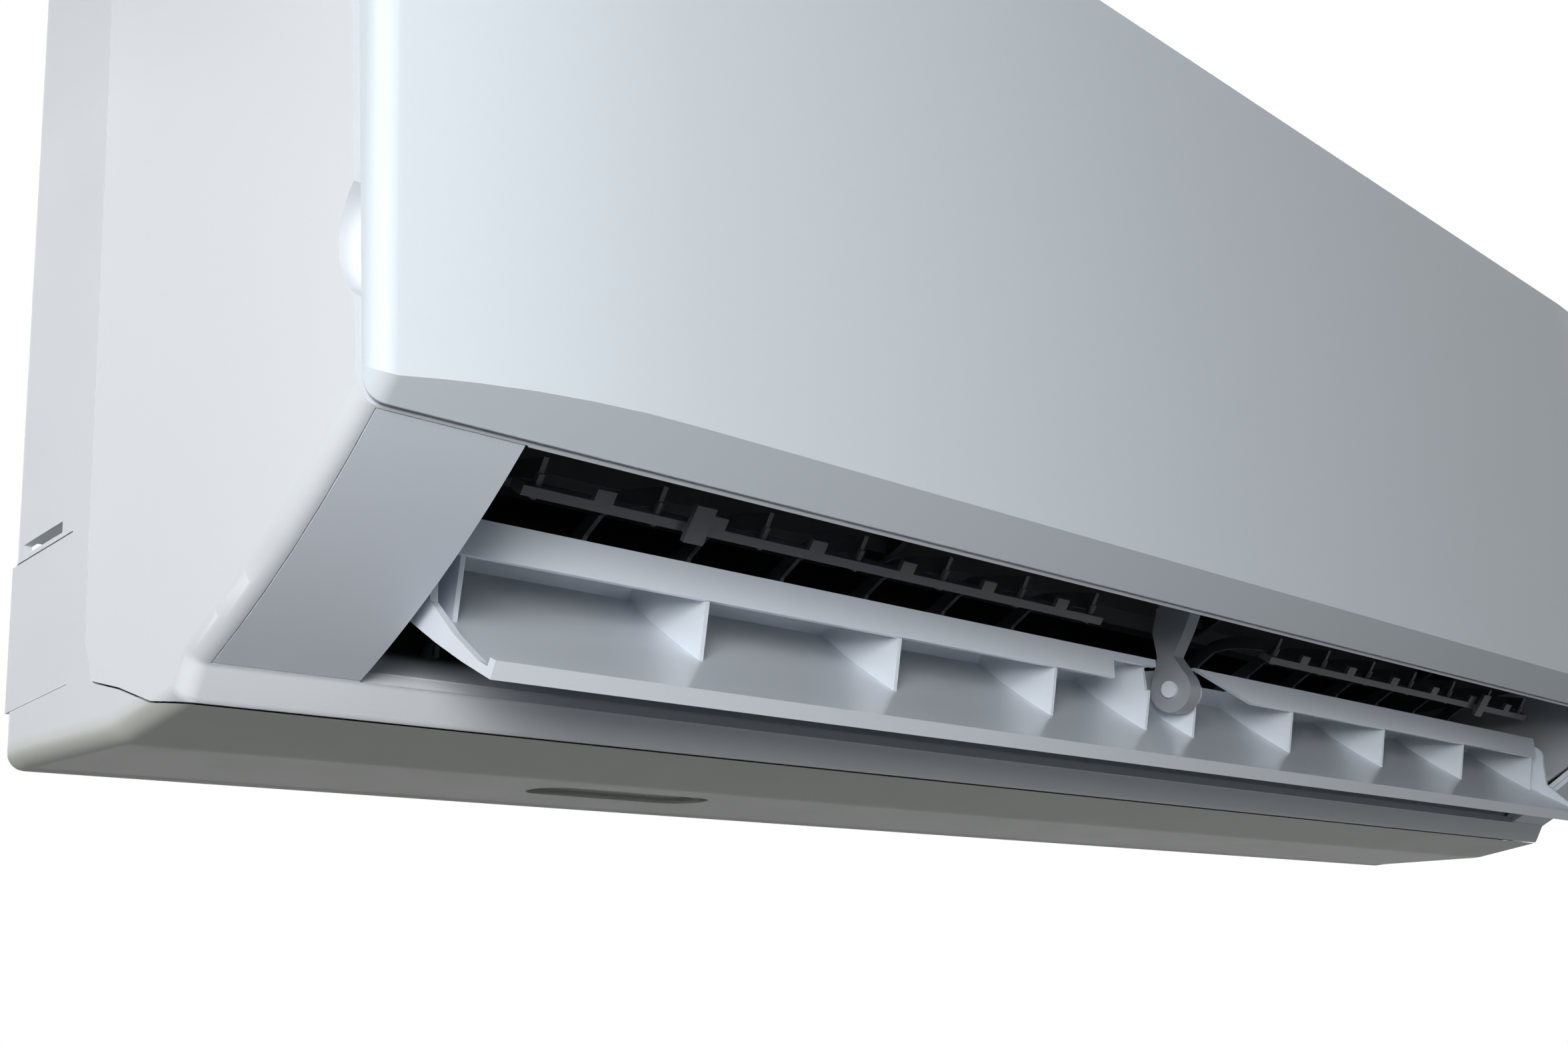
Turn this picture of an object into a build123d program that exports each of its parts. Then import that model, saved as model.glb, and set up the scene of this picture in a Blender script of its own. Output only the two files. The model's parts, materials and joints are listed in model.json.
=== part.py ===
from build123d import *
import os
from math import atan2, cos, degrees, hypot, radians, sin

# Wall-mounted indoor air conditioner unit, seen from the room.
# X runs along the wall, +Y goes into the wall, +Z is up. The origin is the
# centre of the mounting plate's back face, so the wall is the plane y = 0.
# Profiles are written as (depth from the wall, height above the underside).

# ---- driving dimensions, millimetres --------------------------------------
UNIT_WIDTH = 845.0
UNIT_HEIGHT = 289.0
PANEL_FACE_DEPTH = 209.0        # foremost line of the front panel
PLATE_CENTRE_HEIGHT = 180.0     # centre of the mounting plate above the underside
WALL = 2.5                      # moulded wall of the large covers
SEAM = 0.4                      # gap along the seams of the covers
RUNNING = 0.05                  # radial clearance of a turning fit
SIDE_ROUND = 5.0                # rounding of the case along its ends

CASE_FRONT_DEPTH = 186.0
CASE_TOP_STEP_DEPTH = 180.4
CASE_TOP_STEP_HEIGHT = UNIT_HEIGHT - 21.0
SEAM_DEPTH = 53.0
PANEL_BACK_DEPTH = 188.8
PANEL_RIM_DEPTH = 184.0
PANEL_CREASE = (PANEL_FACE_DEPTH - 7.5, 65.6)
PANEL_LOWER_EDGE = (189.4, 55.9)
PANEL_SIDE_GAP = 0.7
PANEL_END_SETBACK = 7.0
PANEL_END_LENGTH = 92.0
PANEL_HINGE = (191.0, UNIT_HEIGHT - 7.5)
HINGE_PIN_RADIUS = 2.2
HINGE_LUG_INSET = 122.5         # of the hinge lugs from the body's ends
LUG_LENGTH = 8.0
EAR_LENGTH = 5.0
EAR_GAP = 0.5
EAR_RADIUS = 4.2

ARC_UPPER = (187.4, 55.9)       # top of the curved lower front
ARC_MIDDLE = (153.6, 32.9)
ARC_LOWER = (112.2, 12.2)
UNDER_FRONT = (106.5, 3.4)
UNDER_CREASE = (71.0, 0.0)
UNDER_REAR = (12.0, 4.5)
BACK_EDGE_DEPTH = 1.0

HALF = UNIT_WIDTH / 2
OUTLET_HALF = HALF - 47.9
TRIM_OUTER = HALF - 5.8
TRIM_THICKNESS = 2.2
BED_GAP = 0.2

FAN_AXIS = (98.0, 128.0)
FAN_RADIUS = 44.0
FAN_BLADES = 20
FAN_DISCS = 4
DUCT_HALF = OUTLET_HALF + 1.9
CHAMBER_RIGHT = HALF - 120.5    # wall between the fan and its motor
FAN_LEFT = -DUCT_HALF + 8.5
FAN_RIGHT = CHAMBER_RIGHT - 8.0
END_WALL = 2.5

LOUVER_PIVOT = (133.0, 45.0)
LOUVER_OPEN = 68.0
LOUVER_END_GAP = 5.0
FLAP_INSET = 3.0                # how far the shut flap lies behind the trims' faces
LOUVER_WALL = 2.6
LOUVER_LIP = 2.4
LOUVER_PIN_RADIUS = 3.5
RIB_PITCH = 89.5
RIB_WALL = 1.6
STRIP_LOW = (137.2, 43.6)       # guide strip at the open position
STRIP_HIGH = (138.0, 54.2)
STRIP_WALL = 2.0
ARM_WALL = 8.0
ARM_EYE_RADIUS = 9.5

VANE_PITCH = 44.0
VANE_FIRST = 70.0
VANE_END_SPACE = 30.0
VANES_PER_SIDE = 1 + int((OUTLET_HALF - VANE_END_SPACE - VANE_FIRST) // VANE_PITCH)
VANE_PIVOT = (86.0, 31.2)
VANE_TILT = 40.0
VANE_WALL = 1.6
VANE_TURN = 12.0                # how far the vanes stand turned towards -X
VANE_PIN_RADIUS = 2.4
BAR_REACH = 24.3
BAR_LEVEL = 62.5
BAR_PIN_RADIUS = 1.4
BAR_OPEN_HOLE = 2.0

LUG_POSITIONS = (-HALF + HINGE_LUG_INSET, HALF - HINGE_LUG_INSET)

os.makedirs("parts", exist_ok=True)


# ---- helpers ---------------------------------------------------------------
def at(depth, height):
    """Point of a side profile: local coordinates on a YZ plane."""
    return (-depth, height - PLATE_CENTRE_HEIGHT)


def place(x, depth, height):
    """Point in space from its X, depth and height."""
    return (x, -depth, height - PLATE_CENTRE_HEIGHT)


def case_face(height):
    """Depth of the case's flat front at a height."""
    share = (height - ARC_UPPER[1]) / (UNIT_HEIGHT - ARC_UPPER[1])
    return ARC_UPPER[0] + (CASE_FRONT_DEPTH - ARC_UPPER[0]) * share


def side(x):
    """YZ plane at x, on which side profiles are drawn; it faces +X."""
    return Plane.YZ.offset(x)


def save(piece, name):
    """Label one finished piece and write it."""
    piece.label = name
    export_step(piece, f"parts/{name}.step")


def circle_through(first, middle, last):
    """Centre and radius of the circle through three side-profile points."""
    (ax, ay), (bx, by), (cx, cy) = first, middle, last
    turn = 2 * (ax * (by - cy) + bx * (cy - ay) + cx * (ay - by))
    a2, b2, c2 = ax * ax + ay * ay, bx * bx + by * by, cx * cx + cy * cy
    x = (a2 * (by - cy) + b2 * (cy - ay) + c2 * (ay - by)) / turn
    y = (a2 * (cx - bx) + b2 * (ax - cx) + c2 * (bx - ax)) / turn
    return (x, y), hypot(ax - x, ay - y)


ARC_CENTRE, ARC_RADIUS = circle_through(ARC_UPPER, ARC_MIDDLE, ARC_LOWER)
ARC_START = degrees(atan2(ARC_UPPER[1] - ARC_CENTRE[1], ARC_UPPER[0] - ARC_CENTRE[0]))
ARC_END = degrees(atan2(ARC_LOWER[1] - ARC_CENTRE[1], ARC_LOWER[0] - ARC_CENTRE[0]))


def arc_point(angle, inset):
    """Side-profile point of the lower front's arc, moved inwards by inset."""
    reach = ARC_RADIUS - inset
    turn = radians(angle)
    return (ARC_CENTRE[0] + reach * cos(turn), ARC_CENTRE[1] + reach * sin(turn))


def arc_at(angle, inset):
    """The same point in the sketch's coordinates."""
    return at(*arc_point(angle, inset))


def arc_band(outer, inner, end_gap):
    """Face between two depths below the lower front's arc, short of its ends by end_gap."""
    margin = degrees(end_gap / ARC_RADIUS)
    first, last = ARC_START - margin, ARC_END + margin
    middle = (first + last) / 2
    with BuildSketch(mode=Mode.PRIVATE) as sketch:
        with BuildLine():
            ThreePointArc(arc_at(first, outer), arc_at(middle, outer), arc_at(last, outer))
            Line(arc_at(last, outer), arc_at(last, inner))
            ThreePointArc(arc_at(last, inner), arc_at(middle, inner), arc_at(first, inner))
            Line(arc_at(first, inner), arc_at(first, outer))
        make_face()
    return sketch.sketch


def wall_along(thickness, *points):
    """Face of a sheet that follows straight side-profile runs."""
    with BuildSketch(mode=Mode.PRIVATE) as sketch:
        with BuildLine():
            Polyline(*[at(*point) for point in points])
        trace(line_width=thickness)
    return sketch.sketch


def profile(*points):
    """Closed face from straight side-profile points."""
    with BuildSketch(mode=Mode.PRIVATE) as sketch:
        with BuildLine():
            Polyline(*[at(*point) for point in points], close=True)
        make_face()
    return sketch.sketch


def vane_plane(x):
    """Plane at a vane's foot: its Z runs up the vane's pivot, its X points with the air flow."""
    tilt = radians(VANE_TILT)
    return Plane(
        origin=place(x, *VANE_PIVOT),
        x_dir=(0, -cos(tilt), -sin(tilt)),
        z_dir=(0, -sin(tilt), cos(tilt)),
    )


# ---- outer body ------------------------------------------------------------
with BuildPart() as body_solid:
    with BuildSketch(side(-HALF)) as body_profile:
        with BuildLine():
            Polyline(at(*UNDER_REAR), at(*UNDER_CREASE), at(*UNDER_FRONT), at(*ARC_LOWER))
            ThreePointArc(at(*ARC_LOWER), at(*ARC_MIDDLE), at(*ARC_UPPER))
            Polyline(
                at(*ARC_UPPER),
                at(CASE_FRONT_DEPTH, UNIT_HEIGHT),
                at(BACK_EDGE_DEPTH, UNIT_HEIGHT - 2.0),
                at(BACK_EDGE_DEPTH, UNDER_REAR[1]),
                at(*UNDER_REAR),
            )
        make_face()
        corners = body_profile.vertices()
        fillet(corners.sort_by_distance(at(*ARC_LOWER))[0], 2.5)
        fillet(body_profile.vertices().sort_by_distance(at(*UNDER_FRONT))[0], 3.0)
        fillet(body_profile.vertices().sort_by_distance(at(*UNDER_CREASE))[0], 25.0)
        fillet(body_profile.vertices().sort_by_distance(at(BACK_EDGE_DEPTH, UNDER_REAR[1]))[0], 6.0)
    extrude(amount=UNIT_WIDTH)
    end_edges = body_solid.faces().filter_by(Axis.X).edges()
    rounded = end_edges.filter_by(lambda edge: -CASE_FRONT_DEPTH < edge.center().Y < -BACK_EDGE_DEPTH - 0.5)
    fillet(rounded, SIDE_ROUND)


def hollow_outline():
    """Side outline of the space inside the walls; the arc lies deeper, under the trims' beds."""
    bed = TRIM_THICKNESS + BED_GAP + WALL
    middle = (ARC_START + ARC_END) / 2
    with BuildLine() as line:
        Polyline(
            at(BACK_EDGE_DEPTH + WALL, UNDER_REAR[1] + 10.0),
            at(UNDER_REAR[0], UNDER_REAR[1] + WALL),
            at(UNDER_CREASE[0], UNDER_CREASE[1] + WALL),
            at(UNDER_FRONT[0] - WALL, UNDER_FRONT[1] + WALL),
            arc_at(ARC_END, bed),
        )
        ThreePointArc(arc_at(ARC_END, bed), arc_at(middle, bed), arc_at(ARC_START, bed))
        Polyline(
            arc_at(ARC_START, bed),
            at(CASE_FRONT_DEPTH - WALL, ARC_UPPER[1] + 8.0),
            at(CASE_FRONT_DEPTH - WALL, UNIT_HEIGHT - WALL),
            at(BACK_EDGE_DEPTH + WALL, UNIT_HEIGHT - 2.0 - WALL),
            at(BACK_EDGE_DEPTH + WALL, UNDER_REAR[1] + 10.0),
        )
    return line.line


with BuildPart() as body_hollow:
    with BuildSketch(side(-HALF + WALL)):
        add(hollow_outline())
        make_face()
    extrude(amount=UNIT_WIDTH - 2 * WALL)

SEAM_CORNER = (58.0, 19.0)
SEAM_BEND = (74.0, 13.8)
SEAM_LOW = (92.0, 6.4)
BEYOND = 30.0                   # how far cutting profiles run past the body


def seam_line(shift):
    """Side-profile points of the seam between front case and rear chassis."""
    return [
        (SEAM_DEPTH + shift, UNIT_HEIGHT + BEYOND),
        (SEAM_DEPTH + shift, SEAM_CORNER[1] + 13.0),
        (SEAM_CORNER[0] + shift, SEAM_CORNER[1] + shift),
        (SEAM_BEND[0] + shift, SEAM_BEND[1] + shift),
        (SEAM_LOW[0] + shift, SEAM_LOW[1] + shift),
        (UNDER_FRONT[0] + shift, UNDER_FRONT[1] + shift),
        (UNDER_FRONT[0] + shift, -BEYOND),
    ]


def in_front_of_seam():
    """Cutting profile that covers all that lies in front of the seam."""
    beyond_front = PANEL_FACE_DEPTH + BEYOND
    return profile(*seam_line(-SEAM / 2), (beyond_front, -BEYOND), (beyond_front, UNIT_HEIGHT + BEYOND))


def behind_seam():
    """Cutting profile that covers all that lies behind the seam."""
    return profile(*seam_line(SEAM / 2), (-BEYOND, -BEYOND), (-BEYOND, UNIT_HEIGHT + BEYOND))


# ---- front case: ends, top grille, front frame and curved lower front -------
WINDOW_LOW = 118.0
WINDOW_HIGH = UNIT_HEIGHT - 31.0
COIL_LEFT = -DUCT_HALF + 2.5
COIL_RIGHT = CHAMBER_RIGHT - 4.0
FILTER_SPLIT = (COIL_LEFT + COIL_RIGHT) / 2
FILTER_POST = 8.0
GRILLE_DEPTH = 116.0
GRILLE_LENGTH = 100.0
GRILLE_ROWS = 6
GRILLE_COLUMNS = 10
NOTCH_CENTRE = (200.0, 97.0)
NOTCH_RADIUS = 19.6
NOTCH_DEPTH = 5.0
STEP_WALL = 2.2
CASE_SCREWS_X = (-OUTLET_HALF + 24.6, 0.0, OUTLET_HALF - 24.6)
CASE_SCREW_HEIGHT = 76.0
CASE_SCREW_RADIUS = 1.9
BUTTON_X = HALF - 27.5
BUTTON_HEIGHT = 100.0
BUTTON_RADIUS = 4.0

window_width = (COIL_RIGHT - COIL_LEFT) / 2 - FILTER_POST
window_height = WINDOW_HIGH - WINDOW_LOW
slot_pitch_x = (COIL_RIGHT - COIL_LEFT) / GRILLE_COLUMNS
slot_pitch_y = GRILLE_LENGTH / GRILLE_ROWS

with BuildPart() as front_case:
    add(body_solid.part)
    add(body_hollow.part, mode=Mode.SUBTRACT)
    # step under the panel's upper rim
    with BuildSketch(side(-HALF - 1.0)):
        add(profile(
            (CASE_TOP_STEP_DEPTH, UNIT_HEIGHT + 5.0), (CASE_FRONT_DEPTH + 5.0, UNIT_HEIGHT + 5.0),
            (CASE_FRONT_DEPTH + 5.0, CASE_TOP_STEP_HEIGHT), (CASE_FRONT_DEPTH, CASE_TOP_STEP_HEIGHT),
            (CASE_TOP_STEP_DEPTH, CASE_TOP_STEP_HEIGHT + 4.0),
        ))
    extrude(amount=UNIT_WIDTH + 2.0, mode=Mode.SUBTRACT)
    with BuildSketch(side(-HALF + WALL)):
        add(profile(
            (CASE_TOP_STEP_DEPTH - STEP_WALL, UNIT_HEIGHT - WALL), (CASE_TOP_STEP_DEPTH, UNIT_HEIGHT - WALL),
            (CASE_TOP_STEP_DEPTH, CASE_TOP_STEP_HEIGHT + 4.0), (CASE_FRONT_DEPTH, CASE_TOP_STEP_HEIGHT),
            (CASE_FRONT_DEPTH, CASE_TOP_STEP_HEIGHT - 4.0), (CASE_TOP_STEP_DEPTH - STEP_WALL, CASE_TOP_STEP_HEIGHT),
        ))
    extrude(amount=UNIT_WIDTH - 2 * WALL)
    # beds that the end trims lie in
    for trim_left in (-TRIM_OUTER - SEAM, OUTLET_HALF - 1.0):
        with BuildSketch(side(trim_left)):
            add(arc_band(-2.0, TRIM_THICKNESS + BED_GAP, 0.6))
        extrude(amount=TRIM_OUTER + SEAM - OUTLET_HALF + 1.0, mode=Mode.SUBTRACT)
    # outlet
    with BuildSketch(side(-OUTLET_HALF)):
        add(profile(
            (186.6, 55.3), (183.6, 59.2), (176.0, 66.0), (104.0, 24.0), (112.0, 12.6), (130.0, 0.0), (205.0, 30.0),
        ))
    extrude(amount=2 * OUTLET_HALF, mode=Mode.SUBTRACT)
    # front windows in front of the coil
    with BuildSketch(Plane.XZ.offset(CASE_FRONT_DEPTH - 6.0)):
        window_centre = (WINDOW_LOW + WINDOW_HIGH) / 2 - PLATE_CENTRE_HEIGHT
        for direction in (-1, 1):
            with Locations((FILTER_SPLIT + direction * (window_width / 2 + FILTER_POST / 2), window_centre)):
                RectangleRounded(window_width, window_height, 6.0)
    extrude(amount=8.0, mode=Mode.SUBTRACT)
    # air inlet grille in the top
    with BuildSketch(Plane.XY.offset(UNIT_HEIGHT - PLATE_CENTRE_HEIGHT - 6.0)):
        with Locations((FILTER_SPLIT, -GRILLE_DEPTH)):
            with GridLocations(slot_pitch_x, slot_pitch_y, GRILLE_COLUMNS, GRILLE_ROWS):
                Rectangle(slot_pitch_x - 5.0, slot_pitch_y - 4.0)
    extrude(amount=12.0, mode=Mode.SUBTRACT)
    # finger hollows in the ends, each with a thicker wall behind it
    for pad_left in (-HALF + WALL, HALF - WALL - NOTCH_DEPTH):
        with BuildSketch(side(pad_left)):
            add(profile((171.0, 74.0), (183.6, 74.0), (183.6, 120.0), (171.0, 120.0)))
        extrude(amount=NOTCH_DEPTH)
    for notch_left in (-HALF - 1.0, HALF - NOTCH_DEPTH):
        with BuildSketch(side(notch_left)):
            with Locations(at(*NOTCH_CENTRE)):
                Circle(NOTCH_RADIUS)
        extrude(amount=NOTCH_DEPTH + 1.0, mode=Mode.SUBTRACT)
    # ears that the panel's hinge pins turn in
    for lug_x in LUG_POSITIONS:
        for ear_left in (lug_x - LUG_LENGTH / 2 - EAR_GAP - EAR_LENGTH, lug_x + LUG_LENGTH / 2 + EAR_GAP):
            with BuildSketch(side(ear_left)):
                with Locations(at(*PANEL_HINGE)):
                    Circle(EAR_RADIUS)
                add(profile(
                    (PANEL_HINGE[0] - 3.4, PANEL_HINGE[1] - 2.4), (PANEL_HINGE[0] + 3.6, PANEL_HINGE[1] - 2.2),
                    (PANEL_HINGE[0] + 1.5, PANEL_HINGE[1] - 9.0), (CASE_FRONT_DEPTH + 1.0, CASE_TOP_STEP_HEIGHT - 3.0),
                    (CASE_FRONT_DEPTH - 1.5, CASE_TOP_STEP_HEIGHT - 3.0),
                    (CASE_FRONT_DEPTH - 3.5, CASE_TOP_STEP_HEIGHT + 1.5), (PANEL_HINGE[0] - 6.5, PANEL_HINGE[1] - 9.0),
                ))
                with Locations(at(*PANEL_HINGE)):
                    Circle(HINGE_PIN_RADIUS + RUNNING, mode=Mode.SUBTRACT)
            extrude(amount=EAR_LENGTH)
    # holes for the screws and the switch button, under the panel
    with BuildSketch(Plane.XZ.offset(CASE_FRONT_DEPTH - 6.0)):
        with Locations(*[(x, CASE_SCREW_HEIGHT - PLATE_CENTRE_HEIGHT) for x in CASE_SCREWS_X]):
            Circle(CASE_SCREW_RADIUS + 0.3)
        with Locations((BUTTON_X, BUTTON_HEIGHT - PLATE_CENTRE_HEIGHT)):
            Circle(BUTTON_RADIUS + RUNNING)
    extrude(amount=8.0, mode=Mode.SUBTRACT)
    with BuildSketch(side(-HALF - 1.0)):
        add(behind_seam())
    extrude(amount=UNIT_WIDTH + 2.0, mode=Mode.SUBTRACT)
save(front_case.part, "front_case")

# ---- end trims ---------------------------------------------------------------
for trim_name, trim_left in (("left_end_trim", -TRIM_OUTER), ("right_end_trim", OUTLET_HALF)):
    with BuildPart() as end_trim:
        with BuildSketch(side(trim_left)):
            add(arc_band(0.0, TRIM_THICKNESS, 0.9))
        extrude(amount=TRIM_OUTER - OUTLET_HALF)
    save(end_trim.part, trim_name)

# ---- front panel: a shallow tray hinged along its top ------------------------
PANEL_HALF = HALF - PANEL_SIDE_GAP
PANEL_TOP = UNIT_HEIGHT
PANEL_TOP_FACE = (PANEL_FACE_DEPTH - 0.4, UNIT_HEIGHT - 5.0)
PANEL_EDGE_ROUND = 6.0


def panel_block(inset, back):
    """Solid bounded by the panel's faces moved inwards by inset."""
    face_plane = Plane(
        origin=place(0.0, PANEL_CREASE[0] - inset, PANEL_CREASE[1]),
        x_dir=(1, 0, 0),
        z_dir=(0, PANEL_CREASE[0] - PANEL_TOP_FACE[0], PANEL_TOP_FACE[1] - PANEL_CREASE[1]),
    )
    half = PANEL_HALF - inset
    bend = PANEL_HALF - PANEL_END_LENGTH
    with BuildPart() as block:
        with BuildSketch(side(-half)):
            add(profile(
                (back, PANEL_TOP - inset),
                (PANEL_TOP_FACE[0] - inset, PANEL_TOP - inset),
                (PANEL_TOP_FACE[0] - inset, PANEL_TOP_FACE[1]),
                (PANEL_CREASE[0] - inset, PANEL_CREASE[1] + inset * 0.4),
                (PANEL_LOWER_EDGE[0] - inset * 0.4, PANEL_LOWER_EDGE[1] + inset),
                (back, PANEL_LOWER_EDGE[1] + inset),
            ))
        extrude(amount=2 * half)
        # the face sweeps back towards both ends
        with BuildSketch(face_plane):
            with BuildLine():
                Line((-bend, 0), (bend, 0))
                Spline((bend, 0), (half + 1.0, PANEL_END_SETBACK), tangents=[(1, 0), (1, 0.16)])
                Polyline((half + 1.0, PANEL_END_SETBACK), (half + 1.0, -20.0), (-half - 1.0, -20.0),
                         (-half - 1.0, PANEL_END_SETBACK))
                Spline((-half - 1.0, PANEL_END_SETBACK), (-bend, 0), tangents=[(1, -0.16), (1, 0)])
            make_face()
        extrude(amount=400.0, both=True, mode=Mode.SUBTRACT)
    return block.part


with BuildPart() as front_panel:
    add(panel_block(0.0, PANEL_RIM_DEPTH))
    end_edges = front_panel.faces().filter_by(Axis.X).edges()
    rounded = end_edges.filter_by(lambda edge: edge.center().Y < -PANEL_RIM_DEPTH - 0.5)
    fillet(rounded, PANEL_EDGE_ROUND)
    add(panel_block(WALL, PANEL_RIM_DEPTH - 5.0), mode=Mode.SUBTRACT)
    # the rim reaches back only along the top; the ends and the bottom stop short of the case
    with BuildSketch(side(-HALF - 1.0)):
        add(profile(
            (PANEL_RIM_DEPTH - 1.0, PANEL_TOP - 6.5), (PANEL_BACK_DEPTH, PANEL_TOP - 16.0),
            (PANEL_BACK_DEPTH, 0.0), (PANEL_RIM_DEPTH - 1.0, 0.0),
        ))
    extrude(amount=UNIT_WIDTH + 2.0, mode=Mode.SUBTRACT)
    # hinge lugs under the top wall, each with a pin to both sides
    for lug_x in LUG_POSITIONS:
        with BuildSketch(side(lug_x - LUG_LENGTH / 2)):
            with Locations(at(*PANEL_HINGE)):
                Circle(HINGE_PIN_RADIUS + 1.4)
            add(profile(
                (PANEL_HINGE[0] - 1.6, PANEL_HINGE[1]), (PANEL_HINGE[0] + 3.4, PANEL_HINGE[1] - 1.0),
                (PANEL_TOP_FACE[0] - 6.0, PANEL_TOP - 1.0), (PANEL_HINGE[0] - 1.0, PANEL_TOP - 1.0),
            ))
        extrude(amount=LUG_LENGTH)
        with BuildSketch(side(lug_x - LUG_LENGTH / 2 - EAR_GAP - EAR_LENGTH)):
            with Locations(at(*PANEL_HINGE)):
                Circle(HINGE_PIN_RADIUS)
        extrude(amount=LUG_LENGTH + 2 * (EAR_GAP + EAR_LENGTH))
save(front_panel.part, "front_panel")

# ---- rear chassis: back wall, pipe recess, scroll behind the fan, duct ends --
BACK_WALL_DEPTH = 10.0
BACK_WINDOW = (80.0, UNIT_HEIGHT - 9.0)
BACK_WINDOW_HALF = HALF - 18.5
RECESS_DEPTH = 46.0
RECESS_TOP = 75.0
SCROLL = ((108.6, 15.4), (84.0, 29.4), (64.0, 53.0), (51.0, 86.0), (47.0, 128.0), (54.0, 168.0))
SCROLL_WALL = 2.4
GUTTER = ((67.0, 172.0), (57.0, 168.6), (44.0, 178.0), (38.0, 190.0))
KNOCKOUT_DEPTH = 42.3
KNOCKOUT_LOW = 21.6
KNOCKOUT_HIGH = 66.2
SLOT_LOW = 67.6
SLOT_HIGH = 71.0
MOTOR_RADIUS = 36.0
MOTOR_LEFT = CHAMBER_RIGHT + 10.0
MOTOR_RIGHT = MOTOR_LEFT + 50.0
DUCT_ROOF = 84.6
ROOF_WALL = 2.4
CHAMBER_TOP = 168.0
SHAFT_RADIUS = 4.0
HOLDER_RADIUS = 14.6
HOOK_POSITIONS = (-180.0, 0.0, 180.0)
HOOK_WIDTH = 34.0
HOOK_LEDGE = BACK_WINDOW[1] - 18.0
UNDER_SLOT = (-268.0, -192.0, 37.0, 57.0)
BULKHEAD_FOOT = (
    (96.5, 9.0), (94.5, 4.2), (71.0, 1.5), (47.0, 3.2), (47.0, RECESS_TOP + 1.0), (11.0, RECESS_TOP + 1.0),
)
VANE_RAIL = ((92.5, 21.4), (78.0, 34.4), (74.8, 31.0), (89.2, 18.0))

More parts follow.
